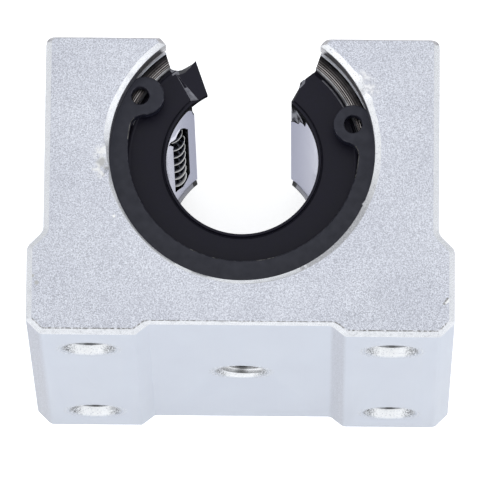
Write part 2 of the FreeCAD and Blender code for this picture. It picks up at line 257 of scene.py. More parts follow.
sky = bpy.data.worlds.new("studio")
scene.world = sky
sky.use_nodes = True
background = sky.node_tree.nodes["Background"]
background.inputs["Color"].default_value = (0.95, 0.975, 1.0, 1)
direction = axes(sky, "Generated")
wall = times(between(direction["Y"], 0, 1, 0.7, -0.1), between(direction["Z"], 0, 1, 1.0, 0.5))
lit = add_node("Math", wall, FRONT_WALL, SKY_LIGHT, operation="MULTIPLY_ADD")
strength = between(add_node("LightPath", to=sky, out="Is Camera Ray"), lit, 1.0, 0.0, 1.0)
sky.node_tree.links.new(strength, background.inputs["Strength"])
for name, (place, side, watts) in LAMPS.items():
    box = bpy.data.lights.new(name, "AREA")
    box.size = side
    box.energy = watts
    lamp = bpy.data.objects.new(name, box)
    lamp.location = place
    lamp.rotation_euler = (-Vector(place)).to_track_quat("-Z", "Y").to_euler()
    scene.collection.objects.link(lamp)
print("lamps:", ", ".join(LAMPS))

# %% [markdown]
# Most finishes on this object follow one rule: a fine grain sets the gloss, the relief and the
# colour together, as scratches and pits do on real metal. Two helpers make such a finish, one
# with its colours and one that leaves them to be blended by place.

# %% Helpers for finishes


def grained(name, size, gloss, relief=None, stretch=(1, 1, 1), detail=3.0, **values):
    """A finish whose gloss and relief follow a grain, and that grain for the colours."""
    finish = new_finish(name, **values)
    level = grain(finish, size, stretch, detail)
    feed(finish, "Roughness", between(level, *gloss))
    if relief:
        emboss(finish, level, *relief)
    return finish, level


def speckled(name, size, tones, *look, **values):
    """A finish whose colour follows its grain too, by stops of (level, colour)."""
    finish, level = grained(name, size, *look, **values)
    feed(finish, "Base Color", colours(level, *tones))
    return finish


print("finish helpers ready")

# %% [markdown]
# The block is sawn from an extruded bar, and its end faces are bead-blasted, which leaves a fine
# sparkling grain. It is bare metal, so it is fully metallic. Scuffs and specks are blended over the
# grain, each near a place in millimetres, and so are painted highlights and painted shade: a dark
# and a bright streak for a nick at the right, and pale and dark spots on the dent beside the bore.

# %% Aluminium: the blasted ends
BLOCK_END = 22.5
WHITE = (1.0, 1.0, 1.0)
SCUFFS = (((13.2, 6.7, BLOCK_END), 1.5), ((12.7, 8.0, BLOCK_END), 0.9))  # place, reach
SPOTS_AND_PAINTED_LIGHT = (  # place on the front end, reach, shade: specks, and painted shade and highlights at a nick and on the dent on the left
    ((21.71, -15.98), 0.2, 0.30), ((21.54, -16.23), 0.2, 0.30), ((21.37, -16.48), 0.2, 0.40),
    ((21.87, -16.07), 0.18, 1.0), ((21.72, -16.26), 0.18, 1.0), ((21.56, -16.40), 0.16, 0.95),
    ((-21.38, -14.59), 0.3, 0.55), ((-21.79, -13.83), 0.22, 0.55), ((-13.36, -7.34), 0.2, 1.0),
    ((-14.7, -0.5), 1.1, 0.93), ((-14.55, -1.7), 1.0, 0.56), ((-15.3, -2.1), 0.6, 0.93),
    ((-14.8, -2.75), 0.6, 0.90))
SMEARED = 0.5  # spots that reach further than this have a smeared edge

blasted, beads = grained("blasted_aluminium", 0.108, (0.42, 0.58), (14, 0.35), detail=1.5, Metallic=1.0)
pale = colours(beads, (0.33, (0.44, 0.45, 0.50)), (0.5, (0.67, 0.685, 0.75)),
               (0.67, (0.90, 0.92, 0.98)))
toned = colours(grain(blasted, 6.0), (0.3, (0.94, 0.94, 0.95)), (0.7, WHITE))
skin = blended(1.0, pale, toned, "MULTIPLY")
smear = grain(blasted, 0.55, detail=4.0)
rubbing = colours(smear, (0.40, (0.52, 0.52, 0.55)), (0.60, (0.90, 0.90, 0.92)))
for place, reach in SCUFFS:
    worn = times(near(blasted, place, reach), between(smear, 0.3, 1.5, 0.4, 0.6))
    skin = blended(worn, skin, rubbing)
# Specks, and painted highlights and painted shade at the nick and on the dent
for place, reach, shade in SPOTS_AND_PAINTED_LIGHT:
    mark = between(near(blasted, (*place, BLOCK_END), reach), 0, 1, 0.0, 0.5)
    if reach > SMEARED:
        mark = times(mark, between(smear, 0.1, 1.3, 0.4, 0.6))
    spot_colour = colours(beads, (0.3, (shade * 0.9,) * 3), (0.7, (shade,) * 3))
    skin = blended(mark, skin, spot_colour)
feed(blasted, "Base Color", skin)
print(blasted.name, "with", len(SCUFFS) + len(SPOTS_AND_PAINTED_LIGHT), "marks")

# %% [markdown]
# The long sides keep the smooth skin of the extrusion, with faint lines along it. Beside the holes
# the skin is speckled darker, and slopes that lean away from the light are painted darker, as
# painted shade. The holes repeat at equal steps, so one folded distance serves them all.

# %% Aluminium: the extruded sides
MOUNT_FACE, RECESS_FLOOR = -20.0, -18.9
MOUNT_HOLES = [(x, MOUNT_FACE, z) for x in (-16, 16) for z in (-15, 15)]
LOCK_HOLE = (0, RECESS_FLOOR, 0)
HOLES_APART = {"X": 16.0, "Z": 15.0}  # from each hole in the mounting face to the next


def from_hole(finish):
    """How far a place is off the nearest hole's axis: sideways, and in all."""
    place = axes(finish)
    sideways, along = (add_node("Math", place[axis], apart / 2 * MM, operation="PINGPONG")
                       for axis, apart in HOLES_APART.items())
    flat = add_node("CombineXYZ", sideways, 0.0, along)
    return sideways, add_node("VectorMath", flat, operation="LENGTH", out="Value")


extruded, lines = grained("extruded_aluminium", 0.35, (0.36, 0.42), (2, 0.2), (1, 1, 60), Metallic=1.0)
drawn = colours(lines, (0.25, (0.545, 0.575, 0.64)), (0.75, (0.57, 0.60, 0.665)))
veil = colours(grain(extruded, 5.0, (1, 1, 2)), (0.3, (0.97, 0.965, 0.97)), (0.7, WHITE))
skin = blended(1.0, drawn, veil, "MULTIPLY")
peppered = colours(grain(extruded, 0.13), (0.36, (0.16, 0.16, 0.17)),
                   (0.5, (0.55, 0.57, 0.62)), (0.64, (0.95, 0.96, 0.98)))
beside = between(from_hole(extruded)[0], 0.1, 0.9, 0.6 * MM, 2.4 * MM)
for place in (*MOUNT_HOLES, LOCK_HOLE):
    rim = between(near(extruded, place, 3.8), 0, 1, 0.03, 0.25)
    skin = blended(times(rim, beside), skin, peppered)
# Painted shade: faces that lean towards -X and -Y get a darker colour
slope_shade_grain = grain(extruded, 0.16, (1, 1, 2.5))
painted_slope_shade = colours(slope_shade_grain, (0.3, (0.38, 0.39, 0.43)), (0.7, (0.52, 0.53, 0.59)))
facing = axes(extruded, "Normal")
leaning = times(between(facing["X"], 1, 0, -0.68, -0.1), between(facing["Y"], 1, 0, -0.6, -0.2))
feed(extruded, "Base Color", blended(leaning, skin, painted_slope_shade))
print(extruded.name, "with", len(MOUNT_HOLES) + 1, "peppered holes")

# %% [markdown]
# Edges that a tool has cut are brighter than the skin. On the ends, the sides that face the light get
# the bright copy and those that face away get a darker copy, as painted light and painted shade, and
# the right side of the bore's mouth is painted nearly white, as a painted highlight. A burr runs along
# the sawn ends. The countersinks are pale in the middle and speckled darker at their sides. Threads
# are painted dark in the middle of a hole, as painted shade, and pale beside it, as painted light.

# %% Aluminium: edges, holes and bore
# Cut edges, brighter than the skin; on the end chamfers this is the copy for sides that face the light, as
# painted light
bright_edge = speckled(
    "bright_cut_edge", 0.16, ((0.30, (0.50, 0.50, 0.52)), (0.46, (0.80, 0.81, 0.84)),
                              (0.7, (0.90, 0.905, 0.93))), (0.34, 0.20), (10, 0.4), detail=4.0, Metallic=0.35)
# Painted shade: a darker copy of the cut edge, for sides that face away from the light
shaded_edge = speckled("shaded_cut_edge", 0.3, ((0.3, (0.36, 0.35, 0.36)), (0.7, (0.58, 0.57, 0.59))),
                     (0.30, 0.42), (8, 0.3), detail=4.0, Metallic=1.0)
burred = speckled("burred_edge", 0.30, ((0.40, (0.26, 0.255, 0.25)), (0.52, (0.50, 0.50, 0.52)),
                                        (0.62, (0.85, 0.86, 0.9))), (0.6, 0.4), (20, 0.5), Metallic=1.0)
bored = speckled("bored_aluminium", 0.12, ((0.3, (0.50, 0.50, 0.52)), (0.7, (0.74, 0.74, 0.77))),
                 (0.38, 0.24), (8, 0.4), (40, 40, 1), detail=2.0, Metallic=1.0)
shoulder = speckled("groove_shoulder", 0.2, ((0.3, (0.52, 0.525, 0.55)), (0.7, (0.74, 0.745, 0.78))),
                    (0.45, 0.35), (6, 0.3), Metallic=0.4)

# The right side of the bore's mouth: painted nearly white as a painted highlight, and painted dimmer towards the
# mounting face, as painted shade
mouth_edge, chips = grained("mouth_edge", 0.16, (0.42, 0.28), (10, 0.4), detail=4.0, Metallic=0.35)
bright = colours(chips, (0.30, (0.55, 0.55, 0.57)), (0.44, (0.93, 0.935, 0.96)), (0.7, WHITE))
painted_mouth_shade = colours(chips, (0.35, (0.40, 0.40, 0.42)), (0.65, (0.66, 0.66, 0.68)))
lower = between(axes(mouth_edge)["Y"], 1, 0, -7.0 * MM, -1.5 * MM)
feed(mouth_edge, "Base Color", blended(lower, bright, painted_mouth_shade))

sunk, dimples = grained("countersunk_aluminium", 0.16, (0.55, 0.42), (18, 0.5), Metallic=0.4)
pale = colours(dimples, (0.30, (0.60, 0.60, 0.62)), (0.40, (0.92, 0.93, 0.95)), (0.62, WHITE))
freckled = colours(dimples, (0.40, (0.10, 0.10, 0.10)), (0.50, (0.42, 0.43, 0.46)),
                   (0.62, (0.86, 0.87, 0.9)))
level_skin = colours(dimples, (0.3, (0.50, 0.53, 0.60)), (0.7, (0.62, 0.65, 0.72)))
sideways, away = from_hole(sunk)
cone = blended(between(sideways, 0, 1, 1.2 * MM, 2.3 * MM), pale, freckled)
rim = between(away, 0, 1, 2.62 * MM, 3.05 * MM)
feed(sunk, "Base Color", blended(rim, cone, level_skin))


def thread_finish(name, dark, light, reach, gloss, metallic):
    """A thread painted dark in the hole's middle, as painted shade, and light beside it, as painted light,
    between two distances off that middle.
    """
    finish, scrape = grained(name, 0.12, gloss, (6, 0.35), Metallic=metallic)
    middle, side = (colours(scrape, (0.3, low), (0.7, high)) for low, high in (dark, light))
    off_middle = between(from_hole(finish)[0], 0, 1, reach[0] * MM, reach[1] * MM)
    feed(finish, "Base Color", blended(off_middle, middle, side))
    return finish


tapped = thread_finish(
    "tapped_aluminium", ((0.30, 0.30, 0.30), (0.46, 0.46, 0.47)), ((0.80, 0.805, 0.82), WHITE),
    (0.15, 0.8), (0.32, 0.20), 0.45)
shaded_thread = thread_finish(
    "shaded_thread", ((0.30, 0.30, 0.30), (0.48, 0.48, 0.49)), ((0.70, 0.71, 0.73), (0.95, 0.955, 0.97)),
    (0.2, 0.75), (0.5, 0.35), 1.0)
ALUMINIUM = (blasted, extruded, bright_edge, mouth_edge, sunk, shaded_edge, burred, bored, tapped,
             shaded_thread, shoulder)
print("aluminium:", [finish.name for finish in ALUMINIUM])

# %% [markdown]
# Now the tools for meshes. A turned piece is a section swung round the bore, a sawn or stamped
# one is an outline drawn out along it, and a cut is a boolean with a tool, as on a machine.
# Faces are smooth where they bend gently and crisp at edges.

# %% Helpers for shapes
CRISP = math.radians(17)


def crisp_edges(mesh):
    """Smooth shading, broken at every edge that turns by more than a little."""
    shape = bmesh.new()
    shape.from_mesh(mesh)
    bmesh.ops.remove_doubles(shape, verts=shape.verts, dist=0.0015 * MM)
    bmesh.ops.dissolve_degenerate(shape, dist=0.001 * MM, edges=shape.edges)
    for face in shape.faces:
        face.smooth = True
    for edge in shape.edges:
        edge.smooth = len(edge.link_faces) == 2 and edge.calc_face_angle(0) < CRISP
    shape.to_mesh(mesh)
    shape.free()


def solid(name, shape):
    """A closed bmesh, in millimetres, as an object in metres."""
    bmesh.ops.recalc_face_normals(shape, faces=shape.faces)
    bmesh.ops.scale(shape, vec=(MM, MM, MM), verts=shape.verts)
    mesh = bpy.data.meshes.new(name)
    shape.to_mesh(mesh)
    shape.free()
    made = bpy.data.objects.new(name, mesh)
    scene.collection.objects.link(made)
    return made


def join_rings(shape, low, high):
    """A band of faces from one closed ring of points to the next."""
    for i in range(len(low)):
        j = (i + 1) % len(low)
        shape.faces.new((low[i], low[j], high[j], high[i]))


def stacked(name, loops):
    """Closed loops of equal length, joined one to the next and capped at both ends."""
    shape = bmesh.new()
    rings = [[shape.verts.new(point) for point in loop] for loop in loops]
    for low, high in zip(rings, rings[1:]):
        join_rings(shape, low, high)
    shape.faces.new(reversed(rings[0]))
    shape.faces.new(rings[-1])
    return solid(name, shape)


def prism(name, outline, low, high, front=None):
    """An outline drawn out along Z, which may change to another one on its way."""
    return stacked(name, [[(*point, low) for point in outline],
                          [(*point, high) for point in front or outline]])


def outward(angle):
    """Away from the bore's axis, at an angle from the slot towards -X."""
    return Vector((-math.sin(angle), math.cos(angle)))


def around(degrees, radius, height):
    """A point by its angle from the slot, its radius and its height along the bore."""
    return (*(outward(math.radians(degrees)) * radius), height)


def heading(vector):
    """The angle from the slot that a direction has."""
    return math.atan2(-vector.x, vector.y)


def circle(steps):
    return [2 * math.pi * step / steps for step in range(steps)]


def round_tool(name, levels, steps=72, centre=Vector((0, 0)), wobble=None):
    """A round bar along Z that changes its radius at levels of (radius, height)."""
    loops = []
    for radius, height in levels:
        reach = [radius + (wobble(angle, height) if wobble else 0) for angle in circle(steps)]
        loops.append([(*(centre + outward(angle) * out), height)
                      for angle, out in zip(circle(steps), reach)])
    return stacked(name, loops)


def turned(name, section, steps=240):
    """A closed section of (radius, height) swung round the bore's axis."""
    shape = bmesh.new()
    rings = [[shape.verts.new((*(outward(angle) * radius), height)) for radius, height in section]
             for angle in circle(steps)]
    for here, there in zip(rings, rings[1:] + rings[:1]):
        join_rings(shape, here, there)
    return solid(name, shape)


def carve(piece, *tools, how="DIFFERENCE"):
    """Cuts tools out of a piece, or joins or crosses them, and uses them up."""
    for tool in tools:
        cut = piece.modifiers.new("carve", "BOOLEAN")
        cut.operation = how
        cut.solver = "MANIFOLD"
        cut.object = tool
        shaped = bpy.data.meshes.new_from_object(
            piece.evaluated_get(bpy.context.evaluated_depsgraph_get()))
        piece.modifiers.clear()
        before, piece.data = piece.data, shaped
        shaped.name = piece.name
        bpy.data.meshes.remove(before)
        worn_out = tool.data
        bpy.data.objects.remove(tool)
        bpy.data.meshes.remove(worn_out)
    return piece


def put_on(piece, body, slot, node, *finishes, choose=None):
    """Gives a piece its finishes, one for all faces or chosen by face, and hangs it on its
    body in place of its plain solid."""
    piece.data.materials.clear()
    for finish in finishes:
        piece.data.materials.append(finish)
    if choose:
        for face in piece.data.polygons:
            face.material_index = finishes.index(choose(face.center / MM, face.normal))
    crisp_edges(piece.data)
    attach(piece, body)
    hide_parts(node)
    print(piece.name, "for", node, "with", len(piece.data.polygons), "faces")


print("shape helpers ready")

# %% [markdown]
# The housing's outline is that of the extruded bar: two pads with a shallow recess between
# them, flanges, two arms, and the slot. Each corner has a small radius, because no real corner
# is perfectly sharp, and the ends are chamfered by drawing the outline in towards each end, more
# up the sides and less on the recess and the arms.

# %% Housing block: the bar
HALF_BAR = [  # x, y, corner radius, from the middle of the recess round to the slot
    (9.6, RECESS_FLOOR, 0.25), (11.0, MOUNT_FACE, 0.25), (21.0, MOUNT_FACE, 0.9), (22.5, -18.5, 0.6),
    (22.5, -10.6, 1.2), (20.8, -8.9, 1.2), (20.8, 12.203, 1.0), (8.76, 12.203, 0.4),
    (8.1, 11.40, 0.1), (8.1, 0.0, 0.1)]
CORNER_STEPS = 5
ROUNDER = {RECESS_FLOOR: 0.9, MOUNT_FACE: 0.8, 12.203: 1.0, 11.40: 0.9}  # radii by y on the right,
ROUNDER_WITHIN = 12  # for the corners beside the recess and the slot
BAR = [(x, y, ROUNDER.get(y, radius) if x < ROUNDER_WITHIN else radius) for x, y, radius in HALF_BAR]
BAR += [(-x, y, radius) for x, y, radius in reversed(HALF_BAR)]
CHAMFER_SHARE = {19: 0.65, 6: 0.5, 12: 0.5}  # a smaller chamfer on the recess and the arms' tops
CHAMFER_SHARE |= {edge: 1.3 for edge in (3, 4, 5, 13, 14, 15)}  # and a larger one up both sides
SHARPEST = 0.03
END_STEPS = ((0.0, 0.62), (0.03, 0.48), (0.475, 0.025), (0.56, 0.0))  # below the end, inset


def bar_outline(inset):
    """The bar's outline, drawn in by inset, with each corner rounded."""
    count = len(BAR)
    edges = []
    for i in range(count):
        start, end = Vector(BAR[i][:2]), Vector(BAR[(i + 1) % count][:2])
        along = (end - start).normalized()
        inward = Vector((-along.y, along.x))
        edges.append((start + inward * inset * CHAMFER_SHARE.get(i, 1.0), along))
    outline = []
    for i in range(count):
        (start, ahead_in), (onward, ahead_out) = edges[i - 1], edges[i]
        turn = ahead_in.cross(ahead_out)
        reach = (onward - start).cross(ahead_out) / turn
        corner = start + ahead_in * reach
        half = (math.pi - ahead_in.angle(ahead_out)) / 2
        radius = max(BAR[i][2] + (inset if turn < 0 else -inset), SHARPEST)
        back = radius / math.tan(half)
        first, last = corner - ahead_in * back, corner + ahead_out * back
        for step in range(CORNER_STEPS + 1):
            t = step / CORNER_STEPS
            outline.append(first.lerp(corner, t).lerp(corner.lerp(last, t), t))
    return outline


heights = [(BLOCK_END - down, inset) for down, inset in END_STEPS]
levels = [(-z, inset) for z, inset in heights] + heights[::-1]
block = stacked("housing_block_body", [[(*p, z) for p in bar_outline(inset)] for z, inset in levels])
print("bar of", len(block.data.polygons), "faces")

# %% [markdown]
# The bore is turned: a chamfered mouth at each end, a groove for each retaining ring, and a
# plain wall for the bearing. On the real block the mouth's edge is not even. It is wider on the
# left, has a dent below that and a ragged stretch at the upper right, so the boring tool's cone
# wanders a little. A sliver of metal that the tool left behind is joined on.

# %% Housing block: the bore
BORE = 14.02
GROOVE = 14.72
GROOVE_LOW, GROOVE_HIGH = 18.45, 19.75
MOUTH = BORE + 0.5
MOUTH_FLAWS = [  # angle from the slot in degrees, width in degrees, how far out
    (46.0, 9.0, 0.07), (77.0, 12.0, 0.14), (91.0, 4.5, -0.22), (99.0, 4.0, -0.26), (130.0, 24.0, -0.24),
    (-57.5, 2.4, 0.32), (-62.5, 2.2, -0.16), (-67.5, 2.0, 0.16), (-105.0, 48.0, 0.12), (165.0, 9.0, -0.1)]
RIPPLES = ((0.03, 3.1, 9), (0.025, 7.7, 31))  # height, place in the noise, waves
DENT_RIM = ((-14.68, 0.75), (-15.45, -2.1), (-14.75, -3.3), (-13.5, -2.0))
DENT_FLOOR = ((-14.35, -1.45), (-14.45, -1.75), (-14.3, -2.0), (-13.5, -1.8))
SLIVER = ((-111.6, ((14.2, 21.2), (14.2, 21.6), (14.0, 21.55))),  # degrees, then radius and height
          (-113.8, ((14.2, 21.1), (14.2, 21.6), (13.84, 21.4))))


def mouth_wobble(angle, height):
    """How far the mouth's edge strays outwards at an angle on the front end."""
    if height < BLOCK_END - 0.2:
        return 0.0
    degrees = (math.degrees(angle) + 180) % 360 - 180
    stray = sum(size * noise.noise((seed, waves * math.cos(angle), waves * math.sin(angle)))
                for size, seed, waves in RIPPLES)
    for at, width, out in MOUTH_FLAWS:
        stray += out * math.exp(-((degrees - at) / width) ** 2)
    return stray


front_half = [
    (BORE, 0.0), (BORE, GROOVE_LOW - 0.05), (BORE + 0.05, GROOVE_LOW), (GROOVE, GROOVE_LOW),
    (GROOVE, GROOVE_HIGH), (BORE + 0.05, GROOVE_HIGH), (BORE, GROOVE_HIGH + 0.05),
    (BORE, BLOCK_END - 0.56), (BORE + 0.03, BLOCK_END - 0.47), (MOUTH - 0.03, BLOCK_END - 0.03),
    (MOUTH + 0.05, BLOCK_END + 0.01), (MOUTH + 0.05, BLOCK_END + 1)]
rear_half = [(radius, -height) for radius, height in reversed(front_half[1:])]
carve(block, round_tool("boring_tool", rear_half + front_half, 360, wobble=mouth_wobble),
      prism("dent", DENT_FLOOR, BLOCK_END - 0.24, BLOCK_END + 0.02, front=DENT_RIM))
carve(block, stacked("sliver", [[around(degrees, *point) for point in points]
                                for degrees, points in SLIVER]), how="UNION")
print("bored block of", len(block.data.polygons), "faces")

# %% [markdown]
# The mounting holes are tapped. A thread is one ridge wound along a helix, so the tap is built
# as a strip of four lines per turn that joins up with its own next turn. Cutting with it leaves
# a true thread in the hole, and the set screws later use the same winding.

# %% Helpers for threads
RIDGE = ((0.0, "minor"), (0.25, "minor"), (0.5625, "major"), (0.6875, "major"))  # share of a turn, radius


def threaded_rod(name, length, thread, steps=40):
    """A rod along +Z from the origin with a helical ridge from one radius to another."""
    pitch = thread["pitch"]
    turns = max(2, math.ceil(length / pitch))
    shape = bmesh.new()
    strip = []
    for step in range(turns * steps + 1):
        angle = 2 * math.pi * step / steps
        strip.append([shape.verts.new((thread[radius] * math.cos(angle), thread[radius] * math.sin(angle),
                                       pitch * (step / steps + share))) for share, radius in RIDGE])
    for step in range(turns * steps):
        here, there = strip[step], strip[step + 1]
        for i in range(3):
            shape.faces.new((here[i], there[i], there[i + 1], here[i + 1]))
        if step + steps < len(strip) - 1:
            above, beyond = strip[step + steps][0], strip[step + steps + 1][0]
            shape.faces.new((here[3], there[3], beyond, above))
    rims = [edge for edge in shape.edges if edge.is_boundary]
    middle = pitch * turns / 2
    for height, low in ((0.0, True), (pitch * (turns + RIDGE[-1][0]), False)):
        hub = shape.verts.new((0, 0, height))
        for edge in rims:
            if (sum(v.co.z for v in edge.verts) / 2 < middle) == low:
                shape.faces.new((*edge.verts, hub))
    return solid(name, shape)


def aim(piece, entry, into, start=0.0):
    """Moves a tool drawn along +Z so that it enters at a point and goes in a direction."""
    turn = Vector(into).to_track_quat("Z", "Y").to_matrix().to_4x4()
    shift = Matrix.Translation(Vector((0, 0, start)) * MM)
    piece.data.transform(Matrix.Translation(Vector(entry) * MM) @ turn @ shift)
    return piece


def countersink(mouth, radius, depth, entry, into):
    """A cone from a mouth with a rounded rim down to a smaller radius."""
    levels = ((mouth + 1.3, -0.12), (mouth + 0.5, 0.0), (mouth + 0.3, 0.03), (mouth + 0.15, 0.085),
              (mouth + 0.05, 0.16), (mouth, 0.22), (radius, depth), (radius - 0.01, depth + 1.0))
    return aim(round_tool("countersink", levels), entry, into)


print("thread helpers ready")

# %% [markdown]
# Six holes are tapped: four for mounting, one in the recess for the screw that locks the bearing,
# and one in a flank for the screw that takes up its play. Then every face of the block gets its
# finish by where it lies and which way it looks, as a painter would mask it.

# %% Housing block: the tapped holes
FLANK = 20.8
UPWARDS, INWARDS = (0, 1, 0), (-1, 0, 0)
PRELOAD_HOLE = (FLANK, 0, 0)
M5 = {"minor": 2.1, "major": 2.5, "pitch": 0.8}
M4 = {"minor": 1.65, "major": 2.0, "pitch": 0.7}
THREAD_LEAD = 2.18  # the tap starts this far outside the face
FILLED = 0.8  # in sinks deeper than this, blasting has filled the first turns of the thread
BEARING_SEAT = 18.0
END_SKIN, END_BEVEL = 0.035, 0.6  # how far below the end its face and its chamfer reach
DENT_X, DENT_Y, DENT_DEPTH = (-15.6, -14.0), (-3.4, 0.8), 0.3  # the dent's surroundings
SLOT_CORNER_X, SLOT_CORNER_Y = 9, 10  # the corners where the slot opens lie within and above these
RIM_WIDTH = 0.55  # how far round a hole its finish reaches

holes = [(place, UPWARDS, M5, 12.0, 2.62, 0.92) for place in MOUNT_HOLES]  # depth, mouth, sink
holes += [(LOCK_HOLE, UPWARDS, M5, 7.0, 2.5, 0.55), (PRELOAD_HOLE, INWARDS, M4, 9.5, 2.0, 0.4)]
for entry, into, thread, depth, mouth, sink in holes:
    lead = -sink if sink > FILLED else THREAD_LEAD
    tap = threaded_rod("tap", depth + lead, thread)
    carve(block, aim(tap, entry, into, -lead), countersink(mouth, thread["minor"], sink, entry, into))


def hole_finish(centre, normal):
    """The finish of a face in or round a hole, or none."""
    for entry, into, thread, depth, mouth, sink in holes:
        from_entry, along = centre - Vector(entry), abs(normal.dot(Vector(into)))
        if from_entry.cross(Vector(into)).length < mouth + RIM_WIDTH and along < 0.999:
            if from_entry.dot(Vector(into)) > sink or along < 0.15:
                return shaded_thread if sink > FILLED else tapped
            return sunk if into == UPWARDS else bright_edge
    return None


def block_finish(centre, normal):
    """Which of the aluminium finishes a face of the block has."""
    radius = math.hypot(centre.x, centre.y)
    end = abs(centre.z)
    level = abs(normal.z) > 0.9
    outwards = normal.dot(Vector((centre.x, centre.y, 0)).normalized())
    in_dent = (DENT_X[0] < centre.x < DENT_X[1] and DENT_Y[0] < centre.y < DENT_Y[1]
               and centre.z > BLOCK_END - DENT_DEPTH)
    if end > BLOCK_END - END_SKIN and level:
        at_burr = abs(normal.z) < 0.99 and normal.y < -0.05 and radius > GROOVE + 2
        return burred if at_burr else blasted
    if in_dent and normal.z > 0.85:
        return blasted
    if end > BLOCK_END - END_BEVEL and abs(normal.z) > 0.2:
        if radius < GROOVE + 0.6 and centre.x > 0 and outwards < -0.3 and normal.y < 0.6:
            return mouth_edge
        at_slot_corner = abs(centre.x) < SLOT_CORNER_X and centre.y > SLOT_CORNER_Y and outwards > -0.3
        # End chamfers facing +Y get the darker copy, as painted shade, and so do the corners where the slot opens
        return shaded_edge if normal.y > 0.25 and centre.y > 0 or at_slot_corner else bright_edge
    if radius < GROOVE + 0.1 and (level or outwards < -0.9):
        return shoulder if level and end > BEARING_SEAT else bored
    return hole_finish(centre, normal) or (shaded_edge if radius < BORE - 0.03 else extruded)


put_on(block, "housing", "block_aluminium", "housing_block", *ALUMINIUM, choose=block_finish)

# %% [markdown]
# The retaining rings are stamped from black spring steel. The oxide is a dark skin with a little
# sheen, rubbed thin along the stamped edges. In a few places on the front ring's inner edge a paler
# steel colour is painted on, as painted glints.

# %% Ring finishes
oxide = speckled("black_oxide_ring", 0.9, ((0.3, (0.0065, 0.0075, 0.018)), (0.7, (0.0105, 0.0115, 0.025))),
                 (0.52, 0.40), detail=4.0, Specular_IOR_Level=0.44)
emboss(oxide, grain(oxide, 0.12), 5, 0.3)
rubbed = speckled("rubbed_ring_edge", 0.5, ((0.42, (0.012, 0.012, 0.022)), (0.7, (0.06, 0.06, 0.075))),
                  (0.5, 0.3), detail=4.0, Metallic=0.6)
painted_glint = speckled("painted_glint_ring_edge", 0.35, ((0.38, (0.02, 0.02, 0.022)), (0.64, (0.17, 0.165, 0.16))),
                (0.45, 0.3), Metallic=0.9)
print("ring finishes:", oxide.name, rubbed.name, painted_glint.name)

# %% [markdown]
# A ring's outline is made of arcs: the outer edge, an off-centre inner edge that makes the band
# widest opposite the gap, and two eyes for pliers, each joined to the band by a hollow arc. Half
# of it is worked out and mirrored. The left eye was punched a little off centre.

# %% Ring outline
RING = 14.67
RING_HUB = Vector((0, 0.8))
RING_INNER = 12.17
EYE_ANGLE = math.radians(65.5)
EYE_PLACE, EYE_LUG, EYE_HOLE, EYE_FILLET = 12.22, 2.08, 0.94, 1.4
LEFT_PUNCH = outward(math.radians(66.6)) * 12.61
FULL_TURN = 2 * math.pi


def arc(centre, radius, start, end, steps):
    """Points on an arc between two directions, as angles from +Y towards -X."""
    return [centre + outward(start + (end - start) * i / steps) * radius for i in range(steps + 1)]


def half_ring():
    """The outline on the -X side, from the outer end of the gap to the foot of the band."""
    eye = outward(EYE_ANGLE) * EYE_PLACE
    spread = RING_HUB - eye
    reach_lug, reach_hub = EYE_LUG + EYE_FILLET, RING_INNER - EYE_FILLET
    along = (reach_lug ** 2 - reach_hub ** 2 + spread.length ** 2) / (2 * spread.length)
    height = math.sqrt(reach_lug ** 2 - along ** 2)
    axis = spread.normalized()
    fillet = eye + axis * along - Vector((-axis.y, axis.x)) * height
    lug_end = heading(fillet - eye)
    while lug_end > EYE_ANGLE:
        lug_end -= FULL_TURN
    band_start = heading(fillet - RING_HUB) % FULL_TURN
    corner = heading(eye - fillet) % FULL_TURN
    foot = band_start
    while foot - corner > math.pi:
        foot -= FULL_TURN
    points = [outward(EYE_ANGLE) * RING]
    points += arc(eye, EYE_LUG, EYE_ANGLE, lug_end, 40)
    points += arc(fillet, EYE_FILLET, corner, foot, 12)[1:]
    points += arc(RING_HUB, RING_INNER, band_start, math.pi, 64)[1:]
    return points, eye


inner_edge, left_eye = half_ring()
ring_edge = inner_edge + [Vector((-p.x, p.y)) for p in reversed(inner_edge[:-1])]
ring_edge += arc(Vector((0, 0)), RING, FULL_TURN - EYE_ANGLE, EYE_ANGLE, 140)[1:-1]
eye_edges = [arc(centre, EYE_HOLE, 0, FULL_TURN, 40)[:-1]
             for centre in (LEFT_PUNCH, Vector((-left_eye.x, left_eye.y)))]
print("ring outline of", len(ring_edge), "points")

# %% [markdown]
# Stamping leaves the edges of the plate a little round. The plate is built as one shape: a
# rounded rim along every edge, the outer one and both eyes, and two flat faces filled between.

# %% Retaining rings
RING_LOW, RING_HIGH = 18.5, 19.7
RIM_STEPS = ((0.0, 0.11), (0.035, 0.035), (0.11, 0.0))  # below the face, drawn in
GLINT_STRETCHES = ((71, 82), (-101, -84), (152, 155), (164, 168), (-172, -162))  # degrees from the slot: where glints are painted on the front ring's inner edge


def drawn_in(edge, inset):
    """A closed edge moved sideways, towards its left as it runs."""
    moved = []
    for i, point in enumerate(edge):
        along = (edge[(i + 1) % len(edge)] - edge[i - 1]).normalized()
        moved.append(point + Vector((-along.y, along.x)) * inset)
    return moved


def stamped(name, edges, low, high):
    """A plate with a rounded rim round each edge, its material to the left of every edge."""
    shape = bmesh.new()
    steps = [(low + down, inset) for down, inset in RIM_STEPS]
    steps += [(high - down, inset) for down, inset in reversed(RIM_STEPS)]
    caps = {0: [], len(steps) - 1: []}
    for edge in edges:
        rings = [[shape.verts.new((*p, z)) for p in drawn_in(edge, inset)] for z, inset in steps]
        for below, above in zip(rings, rings[1:]):
            join_rings(shape, below, above)
        for level in caps:
            caps[level] += [shape.edges.get((rings[level][i], rings[level][i - 1])) for i in range(len(edge))]
    for level in caps:
        bmesh.ops.triangle_fill(shape, edges=caps[level], use_beauty=True, use_dissolve=False)
    return solid(name, shape)


